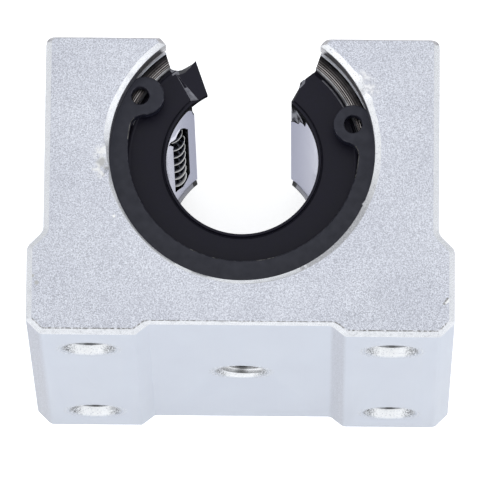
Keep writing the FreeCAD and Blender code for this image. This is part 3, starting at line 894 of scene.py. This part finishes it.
def run_round(edge, leftwards):
    """A closed edge, turned about where it runs the wrong way round."""
    area = sum(edge[i - 1].cross(edge[i]) for i in range(len(edge))) / 2
    return edge if (area > 0) == leftwards else edge[::-1]


def ring_finish(centre, normal):
    if abs(normal.z) > 0.99 or abs(normal.z) < 0.1:
        return oxide
    degrees = math.degrees(heading(centre))
    inner_rim = centre.z > 0 and normal.z > 0 and math.hypot(centre.x, centre.y) < 13
    # Painted glints: a paler steel colour on stretches of the front ring's inner edge
    return painted_glint if inner_rim and any(low < degrees < high for low, high in GLINT_STRETCHES) else rubbed


plate_edges = [run_round(ring_edge, True)] + [run_round(edge, False) for edge in eye_edges]
for name, turn, flip in (("front", -7.5, 1), ("rear", 4.0, -1)):
    ring = stamped(f"{name}_ring_plate", plate_edges, RING_LOW, RING_HIGH)
    ring.data.transform(Matrix.Diagonal((1, 1, flip, 1)) @ Matrix.Rotation(math.radians(turn), 4, "Z"))
    if flip < 0:
        ring.data.flip_normals()
    put_on(ring, "housing", "ring_steel", f"{name}_retaining_ring", oxide, rubbed, painted_glint, choose=ring_finish)

# %% [markdown]
# The bearing's outer shell is a hardened steel tube. Its end face was faced on a lathe, and the
# tool left fine rings beside the retaining ring. The light they catch is painted: their colour is a
# wave that runs outwards from the bore's axis, pale at each crest as a painted highlight, fading to a
# plain dark band, and the inner edge is painted bright, as a painted highlight.

# %% Shell finishes
SHELL = 14.0
SHELL_LIP = 12.448
FACED_LINES = 7
HALF_LINE = 0.5 / FACED_LINES

turned_steel = grained("turned_steel", 0.1, (0.26, 0.38), (3, 0.3), Metallic=1.0)[0]
tarnish = grain(turned_steel, 1.6, detail=3.0)
tarnished = colours(tarnish, (0.3, (0.36, 0.345, 0.335)), (0.7, (0.52, 0.51, 0.505)))
feed(turned_steel, "Base Color", tarnished)

faced_steel, wander = grained("faced_steel", 1.2, (0.24, 0.36), Metallic=1.0)
flat = add_node("VectorMath", surface(faced_steel), (1, 1, 0), operation="MULTIPLY")
off_axis = add_node("VectorMath", flat, operation="LENGTH", out="Value")
spread = between(off_axis, 0, 1, SHELL_LIP * MM, SHELL * MM)
wave = add_node("Math", spread, HALF_LINE, operation="PINGPONG")
# The lathe rings: pale at each crest, as painted highlights
ring_marks_and_highlights = between(wave, 0, 1, 0.0, HALF_LINE)
bands = colours(ring_marks_and_highlights, (0.25, (0.035, 0.031, 0.031)), (0.60, (0.13, 0.12, 0.12)),
                (0.92, (0.70, 0.67, 0.66)))
plain = colours(wander, (0.3, (0.045, 0.042, 0.044)), (0.7, (0.085, 0.08, 0.082)))
bands = blended(between(spread, 0, 1, 0.45, 0.72), bands, plain)
patchy = colours(wander, (0.3, (0.62, 0.61, 0.61)), (0.7, (1.0, 0.99, 0.98)))
inked = blended(1.0, bands, patchy, "MULTIPLY")
# Painted highlight along the lip's inner edge
painted_lip_highlight = colours(wander, (0.3, (0.36, 0.36, 0.37)), (0.7, (0.75, 0.75, 0.76)))
at_lip = between(spread, 1, 0, 0.10, 0.14)
feed(faced_steel, "Base Color", blended(at_lip, inked, painted_lip_highlight))
print("shell finishes:", turned_steel.name, faced_steel.name)

# %% [markdown]
# The lathe's rings are real grooves too: points of the turned section, a few hundredths deep.
# Inside, a land stands under each row of balls, joined on as a box, and a groover cuts the race
# into it. Last, the slot is sawn out.

# %% Bearing shell
SHELL_INSIDE = 12.848
BEARING_END = 18.5
LIP_BACK = 17.72
SLOT_APEX, SLOT_WALL = -3.2685, math.radians(28.6)
SHELL_SLOT_APEX, SHELL_SLOT_WALL = -13.96, math.radians(17.9)
CIRCUIT_MIDDLE = -1.75
RUN_HALF = 9.49
LOADED, RETURN = 9.409, 11.339  # how far out the balls run
ROW_STEP = math.radians(19.70673)
ROWS = [math.radians(54.5 + 70 * circuit) for circuit in range(4)]
TURNED_LINES, LINE_PITCH, LINE_DEPTH = 5, 0.17, 0.05
LAND_HALF, LAND_REACH, LAND_TOP, LAND_FOOT = 1.6, RUN_HALF - 0.3, 10.159, 13.424
RACE = 1.419
PAST_ENDS = 20  # half the length of tools that go right through the bearing


def slot_tool(apex=SLOT_APEX, wall=SLOT_WALL, short_right=0.0, reach=PAST_ENDS):
    """The space between the slot's two walls, as a prism longer than the bearing."""
    foot, shift = Vector((0, apex)), Vector((short_right, 0))
    near_by, far_off = 7.0, 44.0
    return prism("slot_tool", [
        foot + outward(wall) * near_by, foot + outward(-wall) * near_by - shift,
        foot + outward(-wall) * far_off - shift, foot + outward(wall) * far_off], -reach, reach)


def row_frame(angle, at=0.0):
    """A frame on the bearing: X round it, Y along the bore, Z outwards."""
    out = outward(angle)
    columns = Matrix(((-math.cos(angle), 0, out.x), (-math.sin(angle), 0, out.y), (0, 1, 0)))
    return Matrix.Translation(Vector((0, 0, at)) * MM) @ columns.to_4x4()


def box_tool(name, half_x, half_y, low, high):
    """A box about the Z axis."""
    return prism(name, [(x * half_x, y * half_y) for x, y in ((-1, -1), (1, -1), (1, 1), (-1, 1))], low, high)


faced = [(SHELL_INSIDE, LIP_BACK), (SHELL_LIP, LIP_BACK), (SHELL_LIP, BEARING_END - 0.22),
         (SHELL_LIP + 0.03, BEARING_END - 0.17), (SHELL_LIP + 0.17, BEARING_END - 0.02),
         (SHELL_LIP + 0.21, BEARING_END)]
for line in range(TURNED_LINES):
    at = SHELL_LIP + 0.26 + line * LINE_PITCH
    faced += [(at, BEARING_END), (at + LINE_PITCH * 0.3, BEARING_END - LINE_DEPTH),
              (at + LINE_PITCH * 0.62, BEARING_END)]
faced += [(13.58, BEARING_END), (13.62, BEARING_END - 0.01), (SHELL - 0.03, BEARING_END - 0.26),
          (SHELL, BEARING_END - 0.30)]
back = [(radius, -height) for radius, height in reversed(faced)]
shell = turned("bearing_shell_tube", faced + back, steps=300)
for angle in ROWS:
    land = box_tool("land", LAND_HALF, LAND_REACH, LAND_TOP, LAND_FOOT)
    land.data.transform(row_frame(angle, CIRCUIT_MIDDLE))
    carve(shell, land, how="UNION")
for angle in ROWS:
    ends = [(RACE, CIRCUIT_MIDDLE + side * (LAND_REACH + 0.1)) for side in (-1, 1)]
    carve(shell, round_tool("groover", ends, 48, centre=outward(angle) * LOADED))
carve(shell, slot_tool(SHELL_SLOT_APEX, SHELL_SLOT_WALL))


def shell_finish(centre, normal):
    return faced_steel if abs(centre.z) > LIP_BACK + 0.1 and abs(normal.z) > 0.3 else turned_steel


put_on(shell, "housing", "shell_steel", "bearing_shell", turned_steel, faced_steel, choose=shell_finish)

# %% [markdown]
# The ball retainer is black plastic, glossy from the mould. Its inside, which the shaft has wiped,
# mirrors the bright floor, so it is close to a metal, bluish and darker than one at its edges.
# Where the plastic has broken it is torn and dull, with pale flakes, and a few white glints are painted on it.

# %% Retainer finishes
RETAINER_INSIDE, RETAINER_OUTSIDE = 8.35, 12.798
GLINTS = ((56.4, 11.3), (57.6, 11.0), (59.0, 10.6), (62.0, 11.2), (64.5, 12.0), (67.0, 12.9))  # degrees, height: where white glints are painted on the sleeve's inside

gloss_plastic = speckled(
    "gloss_black_plastic", 2.4, ((0.3, (0.010, 0.010, 0.012)), (0.7, (0.017, 0.017, 0.020))),
    (0.10, 0.18), stretch=(1, 1, 5))
emboss(gloss_plastic, grain(gloss_plastic, 1.1), 6, 0.15)

wiped_plastic, film = grained("wiped_plastic", 2.0, (0.10, 0.17), stretch=(1, 1, 4), Metallic=0.85, IOR=1.75,
                              Specular_Tint=(0.80, 0.81, 0.92, 1))
streaks_and_glints = colours(film, (0.3, (0.20, 0.21, 0.27)), (0.7, (0.26, 0.27, 0.335)))
white = colours(film, (0.0, WHITE), (1.0, (0.9, 0.9, 0.9)))
# Painted glints: the colour turns white near each place
for degrees, height in GLINTS:
    glint = near(wiped_plastic, around(degrees, RETAINER_INSIDE, height), 0.75)
    streaks_and_glints = blended(between(glint, 0, 1, 0.2, 0.6), streaks_and_glints, white)
feed(wiped_plastic, "Base Color", streaks_and_glints)
emboss(wiped_plastic, grain(wiped_plastic, 1.1), 5, 0.15)

torn_plastic = speckled("torn_plastic", 0.3, ((0.4, (0.004, 0.004, 0.005)), (0.72, (0.05, 0.05, 0.06))),
                        (0.7, 0.9), (30, 0.6), (1, 1, 3), detail=4.0, Specular_IOR_Level=0.15)
flaked_plastic = speckled(
    "flaked_plastic", 0.55, ((0.40, (0.01, 0.01, 0.012)), (0.47, (0.22, 0.22, 0.25)), (0.58, (0.75, 0.75, 0.80))),
    (0.8, 0.5), (40, 0.6), (1, 1, 4), Specular_IOR_Level=0.3)
PLASTICS = (gloss_plastic, wiped_plastic, torn_plastic, flaked_plastic)
print("retainer finishes:", [finish.name for finish in PLASTICS])

# %% [markdown]
# Each circuit of balls needs a mouth where the loaded balls look out at the shaft, a track for
# them, a channel for the way back and a pocket at each end where they turn round. The tools that
# cut them are drawn flat and then set on the sleeve, as the cores stand in a mould.

# %% Tools for the ball circuits
TRACK_HALF, MOUTH_HALF = 1.509, 1.289
TRACK_FLOOR = 8.6245
TURN_RADIUS = 2.01384
TURN_LEAN = math.radians(12)
CHANNEL_REACH = RUN_HALF + TRACK_HALF * math.tan(TURN_LEAN)
OUTSIDE = 14.5  # beyond the sleeve


def oblong_tool(name, levels, steps=20):
    """A slot with round ends that changes its half width through levels of (height, half width)."""
    loops = []
    for z, half in levels:
        turns = [(side, math.pi * i / steps + (0 if side > 0 else math.pi))
                 for side in (1, -1) for i in range(steps + 1)]
        loops.append([(half * math.cos(a), half * math.sin(a) + side * RUN_HALF, z) for side, a in turns])
    return stacked(name, loops)


def turn_frame(angle, end):
    """Centre, across, ahead and axis of a circuit's end turn."""
    loaded, returning = (outward(a).to_3d() * r for a, r in ((angle, LOADED), (angle + ROW_STEP, RETURN)))
    centre = (loaded + returning) / 2 + Vector((0, 0, CIRCUIT_MIDDLE + end * RUN_HALF))
    across = (returning - loaded).normalized()
    side = across.cross(Vector((0, 0, 1)))
    ahead = Vector((0, 0, end * math.cos(TURN_LEAN))) + side * math.sin(TURN_LEAN)
    across = across * end
    return centre, across, ahead, across.cross(ahead)


def pocket_tool(angle, end):
    """Half a disc that the balls turn round in, open to the outside."""
    rim = TURN_RADIUS + TRACK_HALF
    half_disc = [(rim * math.cos(math.pi * i / 24), rim * math.sin(math.pi * i / 24)) for i in range(25)]
    tool = prism("pocket", half_disc, -TRACK_HALF, 14.0)
    centre, across, ahead, axis = turn_frame(angle, end)
    turn = Matrix((across, ahead, axis)).transposed().to_4x4()
    tool.data.transform(Matrix.Translation(centre * MM) @ turn)
    return tool


def circuit_tools(angle):
    """All that is cut from the sleeve for one circuit of balls."""
    wide = MOUTH_HALF + 0.05
    tools = [oblong_tool("mouth", ((6.0, wide), (8.33, wide), (8.40, MOUTH_HALF), (OUTSIDE, MOUTH_HALF))),
             oblong_tool("track", ((TRACK_FLOOR, TRACK_HALF), (OUTSIDE, TRACK_HALF))),
             box_tool("window", LAND_HALF + 0.1, LAND_REACH + 0.1, LAND_TOP - 0.1, OUTSIDE)]
    for tool in tools:
        tool.data.transform(row_frame(angle, CIRCUIT_MIDDLE))
    channel = box_tool("channel", TRACK_HALF, CHANNEL_REACH, RETURN - TRACK_HALF, OUTSIDE)
    channel.data.transform(row_frame(angle + ROW_STEP, CIRCUIT_MIDDLE))
    return *tools, channel, pocket_tool(angle, 1), pocket_tool(angle, -1)


print("circuit tools ready for", len(ROWS), "circuits")

# %% [markdown]
# The sleeve itself is turned, cut by the tools of each circuit and slotted. The plastic is broken
# along its front end on both sides of the slot, and at the front end of one mouth. Those places
# are cut with ragged tools that run round the inside and only go a little way in.

# %% Ball retainer
SEAL_BACK = 16.8
SLEEVE_EDGE = 0.12
BROKEN_REACH, BROKEN_FROM, BROKEN_TO, BROKEN_LOW = 8.9, -57, 71, 7.5  # radius, degrees, height
SLOT_SIDE = 37.4  # degrees: nearer than this the faces are the slot's own
FLAKE_DEPTH, MOUTH_REACH = 0.2, 9.3
SLOT_RAISED, SHORT_RIGHT = 0.25, 0.17  # the sleeve's slot is a little narrower, more so at right
RELIEF_INSIDE, RELIEF_OUTSIDE = 11.1, 13.2  # where the sleeve is cut back to the shell's slot
CHIP_START, CHIP_TOP = 7.6, SEAL_BACK + 0.15
CHIPS = (  # depth, then degrees from the slot and lowest height: broken places at the front end
    (0.45, (36, 11.2), (39.6, 11.85), (41.1, 14.1), (43.5, 15.0), (47.4, 15.45), (52.6, 15.5), (58, 15.65),
     (64, 16.2), (66, 16.9)),
    (0.10, (-34, 8.0), (-38.5, 8.8), (-40.2, 9.5), (-42.4, 9.8), (-44.8, 10.3), (-47, 12.0), (-49.8, 12.4),
     (-52.2, 12.2), (-54, 14.9), (-56, 16.9)),
    (0.45, (-41.8, 16.9), (-43.1, 14.5), (-46, 13.6), (-49.8, 12.5), (-52, 13.2), (-54, 16.9)))
BROKEN_MOUTH = (  # degrees from the slot, lowest and highest place, how far out
    (47.0, 7.4, 8.9, 8.85), (50.0, 7.4, 10.3, 8.85), (53.0, 7.4, 11.2, 8.85), (56.7, 7.4, 10.7, 8.85),
    (60.0, 7.4, 10.1, 8.8), (62.0, 7.6, 10.6, 8.7), (64.2, 9.2, 11.3, 8.62), (66.0, 10.2, 12.0, 8.55),
    (68.1, 11.5, 12.6, 8.45), (70.2, 12.3, 12.5, 8.40))


def ragged_tool(name, places):
    """A tool that runs round the sleeve's inside through places as in BROKEN_MOUTH."""
    return stacked(name, [[around(degrees, r, z) for r, z in (
        (CHIP_START, low), (reach, low), (reach, high), (CHIP_START, high))]
        for degrees, low, high, reach in places])


def chip_tool(deep, rim):
    """What is missing above a ragged rim, down to a depth in the sleeve's inside."""
    points = []
    for (start, low), (end, high) in zip(rim, rim[1:]):
        count = math.ceil(abs(end - start))
        points += [(start + (end - start) * i / count, low + (high - low) * i / count) for i in range(count)]
    reach = RETAINER_INSIDE + deep
    return ragged_tool("chip", [(degrees, low, CHIP_TOP, reach) for degrees, low in (*points, rim[-1])])


retainer = turned("ball_retainer_sleeve", [
    (RETAINER_INSIDE, -SEAL_BACK + SLEEVE_EDGE), (RETAINER_INSIDE, SEAL_BACK - SLEEVE_EDGE),
    (RETAINER_INSIDE + SLEEVE_EDGE, SEAL_BACK), (RETAINER_OUTSIDE, SEAL_BACK),
    (RETAINER_OUTSIDE, -SEAL_BACK), (RETAINER_INSIDE + SLEEVE_EDGE, -SEAL_BACK)])
for angle in ROWS:
    carve(retainer, *circuit_tools(angle))
carve(retainer, slot_tool(SLOT_APEX + SLOT_RAISED, short_right=SHORT_RIGHT))
relief = turned("relief", [(RELIEF_INSIDE, -PAST_ENDS), (RELIEF_OUTSIDE, -PAST_ENDS),
                           (RELIEF_OUTSIDE, PAST_ENDS), (RELIEF_INSIDE, PAST_ENDS)])
shell_slot = slot_tool(SHELL_SLOT_APEX, SHELL_SLOT_WALL, reach=PAST_ENDS + 1)
carve(retainer, carve(relief, shell_slot, how="INTERSECT"))
carve(retainer, *[chip_tool(deep, rim) for deep, *rim in CHIPS], ragged_tool("broken_mouth", BROKEN_MOUTH))


def retainer_finish(centre, normal):
    """Wiped where the shaft passes, torn at the chips, and black elsewhere."""
    radius = math.hypot(centre.x, centre.y)
    degrees = math.degrees(heading(centre))
    facing_shaft = -normal.dot(Vector((centre.x, centre.y, 0)).normalized()) > 0.93
    shallow = radius < RETAINER_INSIDE + FLAKE_DEPTH
    chipped = radius < BROKEN_REACH and BROKEN_FROM < degrees < BROKEN_TO and centre.z > BROKEN_LOW
    if facing_shaft:
        if chipped and radius > RETAINER_INSIDE + 0.03:
            return flaked_plastic if shallow else torn_plastic
        return wiped_plastic if shallow else gloss_plastic
    broken_edge = chipped and normal.z > -0.5 and abs(degrees) > SLOT_SIDE and centre.z < SEAL_BACK - 0.05
    in_mouth = radius < MOUTH_REACH and abs(centre.z - CIRCUIT_MIDDLE) < RUN_HALF + TRACK_HALF
    return torn_plastic if broken_edge or in_mouth else gloss_plastic


put_on(retainer, "housing", "retainer_plastic", "ball_retainer", *PLASTICS, choose=retainer_finish)

# %% [markdown]
# The balls are polished steel under a film of oil, so they look black but for a bright crescent
# of floor in each: a dark metal with a clear coat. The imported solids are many-sided, which is
# right for a light collision model but would show, so every ball becomes a smooth sphere at its
# solid's centre. Each row rides its own body and runs on as the block moves along the shaft.

# %% Bearing balls
BALL = 1.389
chrome = speckled("polished_ball_steel", 0.35, ((0.3, (0.02, 0.02, 0.021)), (0.7, (0.05, 0.05, 0.052))),
                  (0.03, 0.08), Metallic=1.0, Coat_Weight=1.0, Coat_IOR=2.0, Coat_Roughness=0.04)


def ball_centres(node):
    """The middle of every separate solid in a node."""
    shape = bmesh.new()
    shape.from_mesh(frame["nodes"][node].data)
    bmesh.ops.remove_doubles(shape, verts=shape.verts, dist=0.001 * MM)
    left, centres = set(shape.verts), []
    while left:
        island, edge_of_it = set(), [next(iter(left))]
        while edge_of_it:
            vert = edge_of_it.pop()
            if vert in island:
                continue
            island.add(vert)
            edge_of_it += [e.other_vert(vert) for e in vert.link_edges]
        left -= island
        centres.append(sum((v.co for v in island), Vector()) / len(island))
    shape.free()
    return sorted(centres, key=lambda c: (round(c.z, 6), round(c.x, 6)))


for body in frame["bodies"]:
    if body == "housing":
        continue
    node = body.replace("_row", "_balls")
    shape = bmesh.new()
    for centre in ball_centres(node):
        bmesh.ops.create_uvsphere(shape, u_segments=32, v_segments=20, radius=BALL,
                                  matrix=Matrix.Translation(centre / MM))
    row = solid(node.replace("_balls", "_chrome_balls"), shape)
    put_on(row, body, "ball_steel", node, chrome)

# %% [markdown]
# The end seals are moulded from black rubber, faintly violet under dust. Rubber mirrors little, so
# its specular level is turned down. Where it was cut it is paler, and the same pale rubber marks the
# fold's banks and the rim's inner edge as painted highlight lines. The lip's wiping edge is dull, and
# the rear lip is painted pale and bluish, as a painted reflection of the floor.

# %% Seal finishes
rubber = speckled("black_seal_rubber", 0.5, ((0.35, (0.0042, 0.0037, 0.0115)), (0.75, (0.0085, 0.0075, 0.0175))),
                  (0.42, 0.55), detail=4.0, Specular_IOR_Level=0.235)
emboss(rubber, grain(rubber, 0.07), 4, 0.25)
lip_rubber = speckled("lip_rubber", 0.4, ((0.3, (0.003, 0.003, 0.005)), (0.7, (0.008, 0.008, 0.011))),
                      (0.75, 0.95), Specular_IOR_Level=0.06)
# The rear lip's pale bluish colour is a painted reflection of the floor
painted_reflection_rubber = speckled("painted_reflection_rubber", 1.5, ((0.3, (0.24, 0.245, 0.31)), (0.7, (0.36, 0.365, 0.45))),
                        (0.16, 0.26), Metallic=0.25, IOR=1.7)
cut_and_highlit_rubber = speckled("cut_and_highlit_rubber", 0.35, ((0.3, (0.17, 0.17, 0.195)), (0.7, (0.30, 0.30, 0.335))),
                      (0.7, 0.85), (6, 0.3), Specular_IOR_Level=0.12)
print("seal finishes:", rubber.name, lip_rubber.name, painted_reflection_rubber.name, cut_and_highlit_rubber.name)

# %% [markdown]
# A seal is a disc, open at the slot. The inner edge rises in a small flat lip that wipes the
# shaft, with a groove behind it, and near the rim a bead runs round, beside the gap to the shell.
# All of that is one turned section, so the lip shows a shadow of its own. The rear lip is swept.

# %% Rear end seal
SEAL_FACE = 17.7
LIP = 8.05
SEAL_RIM = 12.828
LIP_WIDTH, LIP_TOP = 0.4, 17.8
LIP_END = 43  # degrees from the slot
upright_lip = [(LIP, SEAL_BACK), (LIP, 17.9), (8.08, 17.97), (8.13, 18.0)]
swept_lip = [(8.42, SEAL_BACK), (8.36, 16.86), (8.12, 17.76), (8.10, 17.88), (8.13, 17.97), (8.2, 18.0)]
seal_face = [
    (8.31, 18.0), (8.36, 17.94), (8.40, 17.6), (8.46, 17.6), (8.50, 17.67), (8.58, SEAL_FACE),
    (11.82, SEAL_FACE), (11.90, 17.735), (12.0, 17.75), (12.1, 17.735), (12.2, 17.66), (12.3, 17.5),
    (SEAL_RIM, 17.45), (SEAL_RIM, SEAL_BACK)]


def seal_disc(name, lip):
    return carve(turned(name, lip + seal_face), slot_tool())


def rear_finish(centre, normal):
    """Painted pale and bluish as a reflection of the floor on the swept lip, but not at the two ends beside the
    slot.
    """
    swept = math.hypot(centre.x, centre.y) < LIP + LIP_WIDTH and centre.z > -LIP_TOP and normal.z > 0.1
    return painted_reflection_rubber if swept and abs(math.degrees(heading(centre))) > LIP_END else rubber


rear_seal = seal_disc("rear_seal_disc", swept_lip)
rear_seal.data.transform(Matrix.Diagonal((1, 1, -1, 1)))
rear_seal.data.flip_normals()
put_on(rear_seal, "housing", "seal_rubber", "rear_end_seal", rubber, painted_reflection_rubber, choose=rear_finish)

# %% [markdown]
# At the front, one end of the seal runs on into the slot as a tongue, with a rounded bite out
# of its outer side and a fold across its root. The other end has a small pointed nib. Both are
# joined to the disc first, then the bite, the fold and the nib's bevel are cut, as for the bore.

# %% Front seal: tongue and nib
TONGUE_CORNERS = (  # degrees from the slot, radius
    (24.9, SEAL_RIM - 0.88), (27.6, LIP), (47.0, LIP), (47.0, SEAL_RIM - 0.4), (36.0, 12.6), (30.0, 12.4))
BITE_END = ((-4.9, 12.6), (-8.4, 12.6))
BITE_FRONT = ((-8.0, 9.95), (-7.46, 9.45), (-7.1, 9.30), (-6.73, 9.26), (-6.4, 9.36), (-6.1, 9.56),
              (-5.7, 9.97), (-5.35, 10.45), (-5.1, 10.76)) + BITE_END
BITE_REAR = ((-8.0, 10.4), (-7.64, 10.18), (-7.3, 10.06), (-6.91, 10.01), (-6.55, 10.08), (-6.18, 10.28),
             (-5.75, 10.53), (-5.4, 10.74), (-5.1, 10.92)) + BITE_END
FOLD_TOP, FOLD_LEFT, FOLD_RIGHT = Vector((-7.12, 9.3)), Vector((-5.5, 6.45)), Vector((-4.62, 6.6))
FOLD_TOP_WIDTH = Vector((0.16, 0.07))
FOLD_BANKS = (0.13, 0.10)  # how wide the fold's left and right bank are
FOLD_SHALLOW, FOLD_DEEPENS, FOLD_ABOVE = 0.10, 0.22, 0.06
NIB_ROOT = outward(math.radians(-39.4)) * RETAINER_INSIDE
NIB_START, NIB_WIDEST, NIB_TIP, NIB_HALF = 1.1, 2.28, 3.4, 0.38  # from its root, and half its width
NIB_FRONT = ((5.6, 9.2), (6.66, 8.98), (6.56, 8.47), (6.04, 7.9), (5.6, 8.3))
NIB_REAR = ((5.6, 9.2), (6.3, 8.82), (6.2, 8.5), (5.9, 8.1), (5.6, 8.3))
TRIM = ((6.5, 8.9), (7.47, 9.65), (7.78, 10.02), (7.3, 11.3), (5.4, 9.9), (5.9, 9.05))  # above the nib
SKIN = 0.02  # tools reach this far past a face
BITE_BOX = ((-8.1, 9.3), (-5.0, 11))  # corners of the places where cut rubber shows
NIB_BOX = ((5.5, 7.8), (6.75, 9.1))
# The rim's inner edge, at these radii and degrees, is painted pale as a highlight line
RIM_LINE = (12.1, 12.3)  # radii, and the degrees where the rim's inner edge shows
RIM_STRETCHES = ((-68, -44), (60, 72))

front_seal = seal_disc("front_seal_disc", upright_lip)
tongue = prism("tongue", [outward(math.radians(a)) * r for a, r in TONGUE_CORNERS], SEAL_BACK, SEAL_FACE - 0.06)
ahead = outward(-SLOT_WALL)
aside = Vector((ahead.y, -ahead.x)) * NIB_HALF
nib = prism("nib", [NIB_ROOT + ahead * NIB_START, NIB_ROOT + ahead * NIB_WIDEST - aside,
                    NIB_ROOT + ahead * NIB_TIP, NIB_ROOT + ahead * NIB_WIDEST + aside], SEAL_BACK, SEAL_FACE)
carve(front_seal, tongue, nib, how="UNION")

foldings = []
for share in (0.0, 0.5, 1.0):
    left = FOLD_TOP.lerp(FOLD_LEFT, share)
    across = (FOLD_TOP + FOLD_TOP_WIDTH).lerp(FOLD_RIGHT, share) - left
    depth = FOLD_SHALLOW + FOLD_DEEPENS * share
    left_bank, right_bank = (min(bank / across.length, 0.4) for bank in FOLD_BANKS)
    foldings.append([(*left, SEAL_FACE + FOLD_ABOVE), (*(left + across), SEAL_FACE + FOLD_ABOVE),
                     (*(left + across * (1 - right_bank)), SEAL_FACE - depth * 0.45),
                     (*(left + across * left_bank), SEAL_FACE - depth)])
carve(front_seal, round_tool("bore_round", ((LIP, SEAL_BACK - 1), (LIP, SEAL_FACE + 1)), 240),
      prism("bite", BITE_REAR, SEAL_BACK - SKIN, SEAL_FACE + SKIN, front=BITE_FRONT),
      prism("nib_tip", NIB_REAR, SEAL_FACE - 0.35, SEAL_FACE + SKIN, front=NIB_FRONT),
      prism("trim", TRIM, SEAL_BACK - SKIN, SEAL_FACE + 0.1), stacked("fold", foldings))
fold_ahead = (FOLD_RIGHT + FOLD_LEFT) / 2 - FOLD_TOP


def within(at, box):
    return all(low < c < high for c, low, high in zip(at, *box))


def seal_finish(centre, normal):
    """Paler where the rubber was cut, painted pale as highlight lines on the fold's banks and the rim's inner
    edge, and dull black where it wipes the shaft.
    """
    at = centre.xy
    degrees = math.degrees(heading(centre))
    if at.length < LIP + 0.03 and abs(normal.z) < 0.5:
        return lip_rubber
    if not 0.1 < abs(normal.z) < 0.99:
        return rubber
    from_top = at - FOLD_TOP
    along = from_top.dot(fold_ahead) / fold_ahead.length_squared
    beside_fold = abs(from_top.cross(fold_ahead.normalized()))
    # The fold's banks are painted pale, as highlight lines
    if beside_fold < 0.5 and 0 < along < 1.02 and centre.z < SEAL_FACE + 0.03:
        return rubber if normal.z > 0.85 and along < 0.55 else cut_and_highlit_rubber
    bitten = within(at, BITE_BOX) and normal.xy.normalized().dot(at.normalized()) < 0.93
    rim_line = RIM_LINE[0] < at.length < RIM_LINE[1] and any(low < degrees < high for low, high in RIM_STRETCHES)
    return cut_and_highlit_rubber if bitten or within(at, NIB_BOX) or rim_line else rubber


put_on(front_seal, "housing", "seal_rubber", "front_end_seal", rubber, cut_and_highlit_rubber, lip_rubber, choose=seal_finish)

# %% [markdown]
# Two headless screws are left: one under the recess that locks the bearing, and one in a flank
# that presses on it to take up play. They use the winding of their holes, a little slimmer, cut
# to length with a chamfer at each end and a hexagon socket in the back.

# %% Set screws
THREAD_PLAY = 0.04
SOCKET_DEPTH = 1.6
SCREW_TOP = 1.28  # how far the screws' backs lie under the face
screw_black = speckled("black_oxide_screw", 0.4, ((0.35, (0.035, 0.035, 0.04)), (0.75, (0.11, 0.11, 0.115))),
                       (0.42, 0.3), (4, 0.3), Metallic=0.75)


def set_screw(name, node, entry, into, thread, tip, socket):
    """A screw from its top to a depth under its hole's face."""
    slim = {**thread, "minor": thread["minor"] - THREAD_PLAY, "major": thread["major"] - THREAD_PLAY}
    screw = aim(threaded_rod(name, tip + 2.0 + THREAD_LEAD, slim), entry, into, -THREAD_LEAD)
    wide, cut = thread["major"] + 0.2, thread["major"] - thread["minor"] + 0.1
    blank = round_tool("blank", ((wide - cut - 0.2, SCREW_TOP), (wide, SCREW_TOP + cut), (wide, tip - cut - 0.2),
                                 (wide - cut - 0.4, tip)))
    hexagon = [(socket * math.cos(math.pi * i / 3), socket * math.sin(math.pi * i / 3)) for i in range(6)]
    key = prism("key", hexagon, SCREW_TOP - 0.5, SCREW_TOP + SOCKET_DEPTH)
    lead_in = round_tool("lead_in", ((socket + 0.25, SCREW_TOP - 0.2), (socket * 0.8, SCREW_TOP + 0.25)))
    carve(screw, aim(blank, entry, into), how="INTERSECT")
    carve(screw, aim(key, entry, into), aim(lead_in, entry, into))
    put_on(screw, "housing", "screw_steel", node, screw_black)


set_screw("lock_screw_threaded", "lock_screw", LOCK_HOLE, UPWARDS, M5, 4.88, 1.2124)
set_screw("preload_screw_threaded", "preload_screw", PRELOAD_HOLE, INWARDS, M4, 6.78, 0.9526)
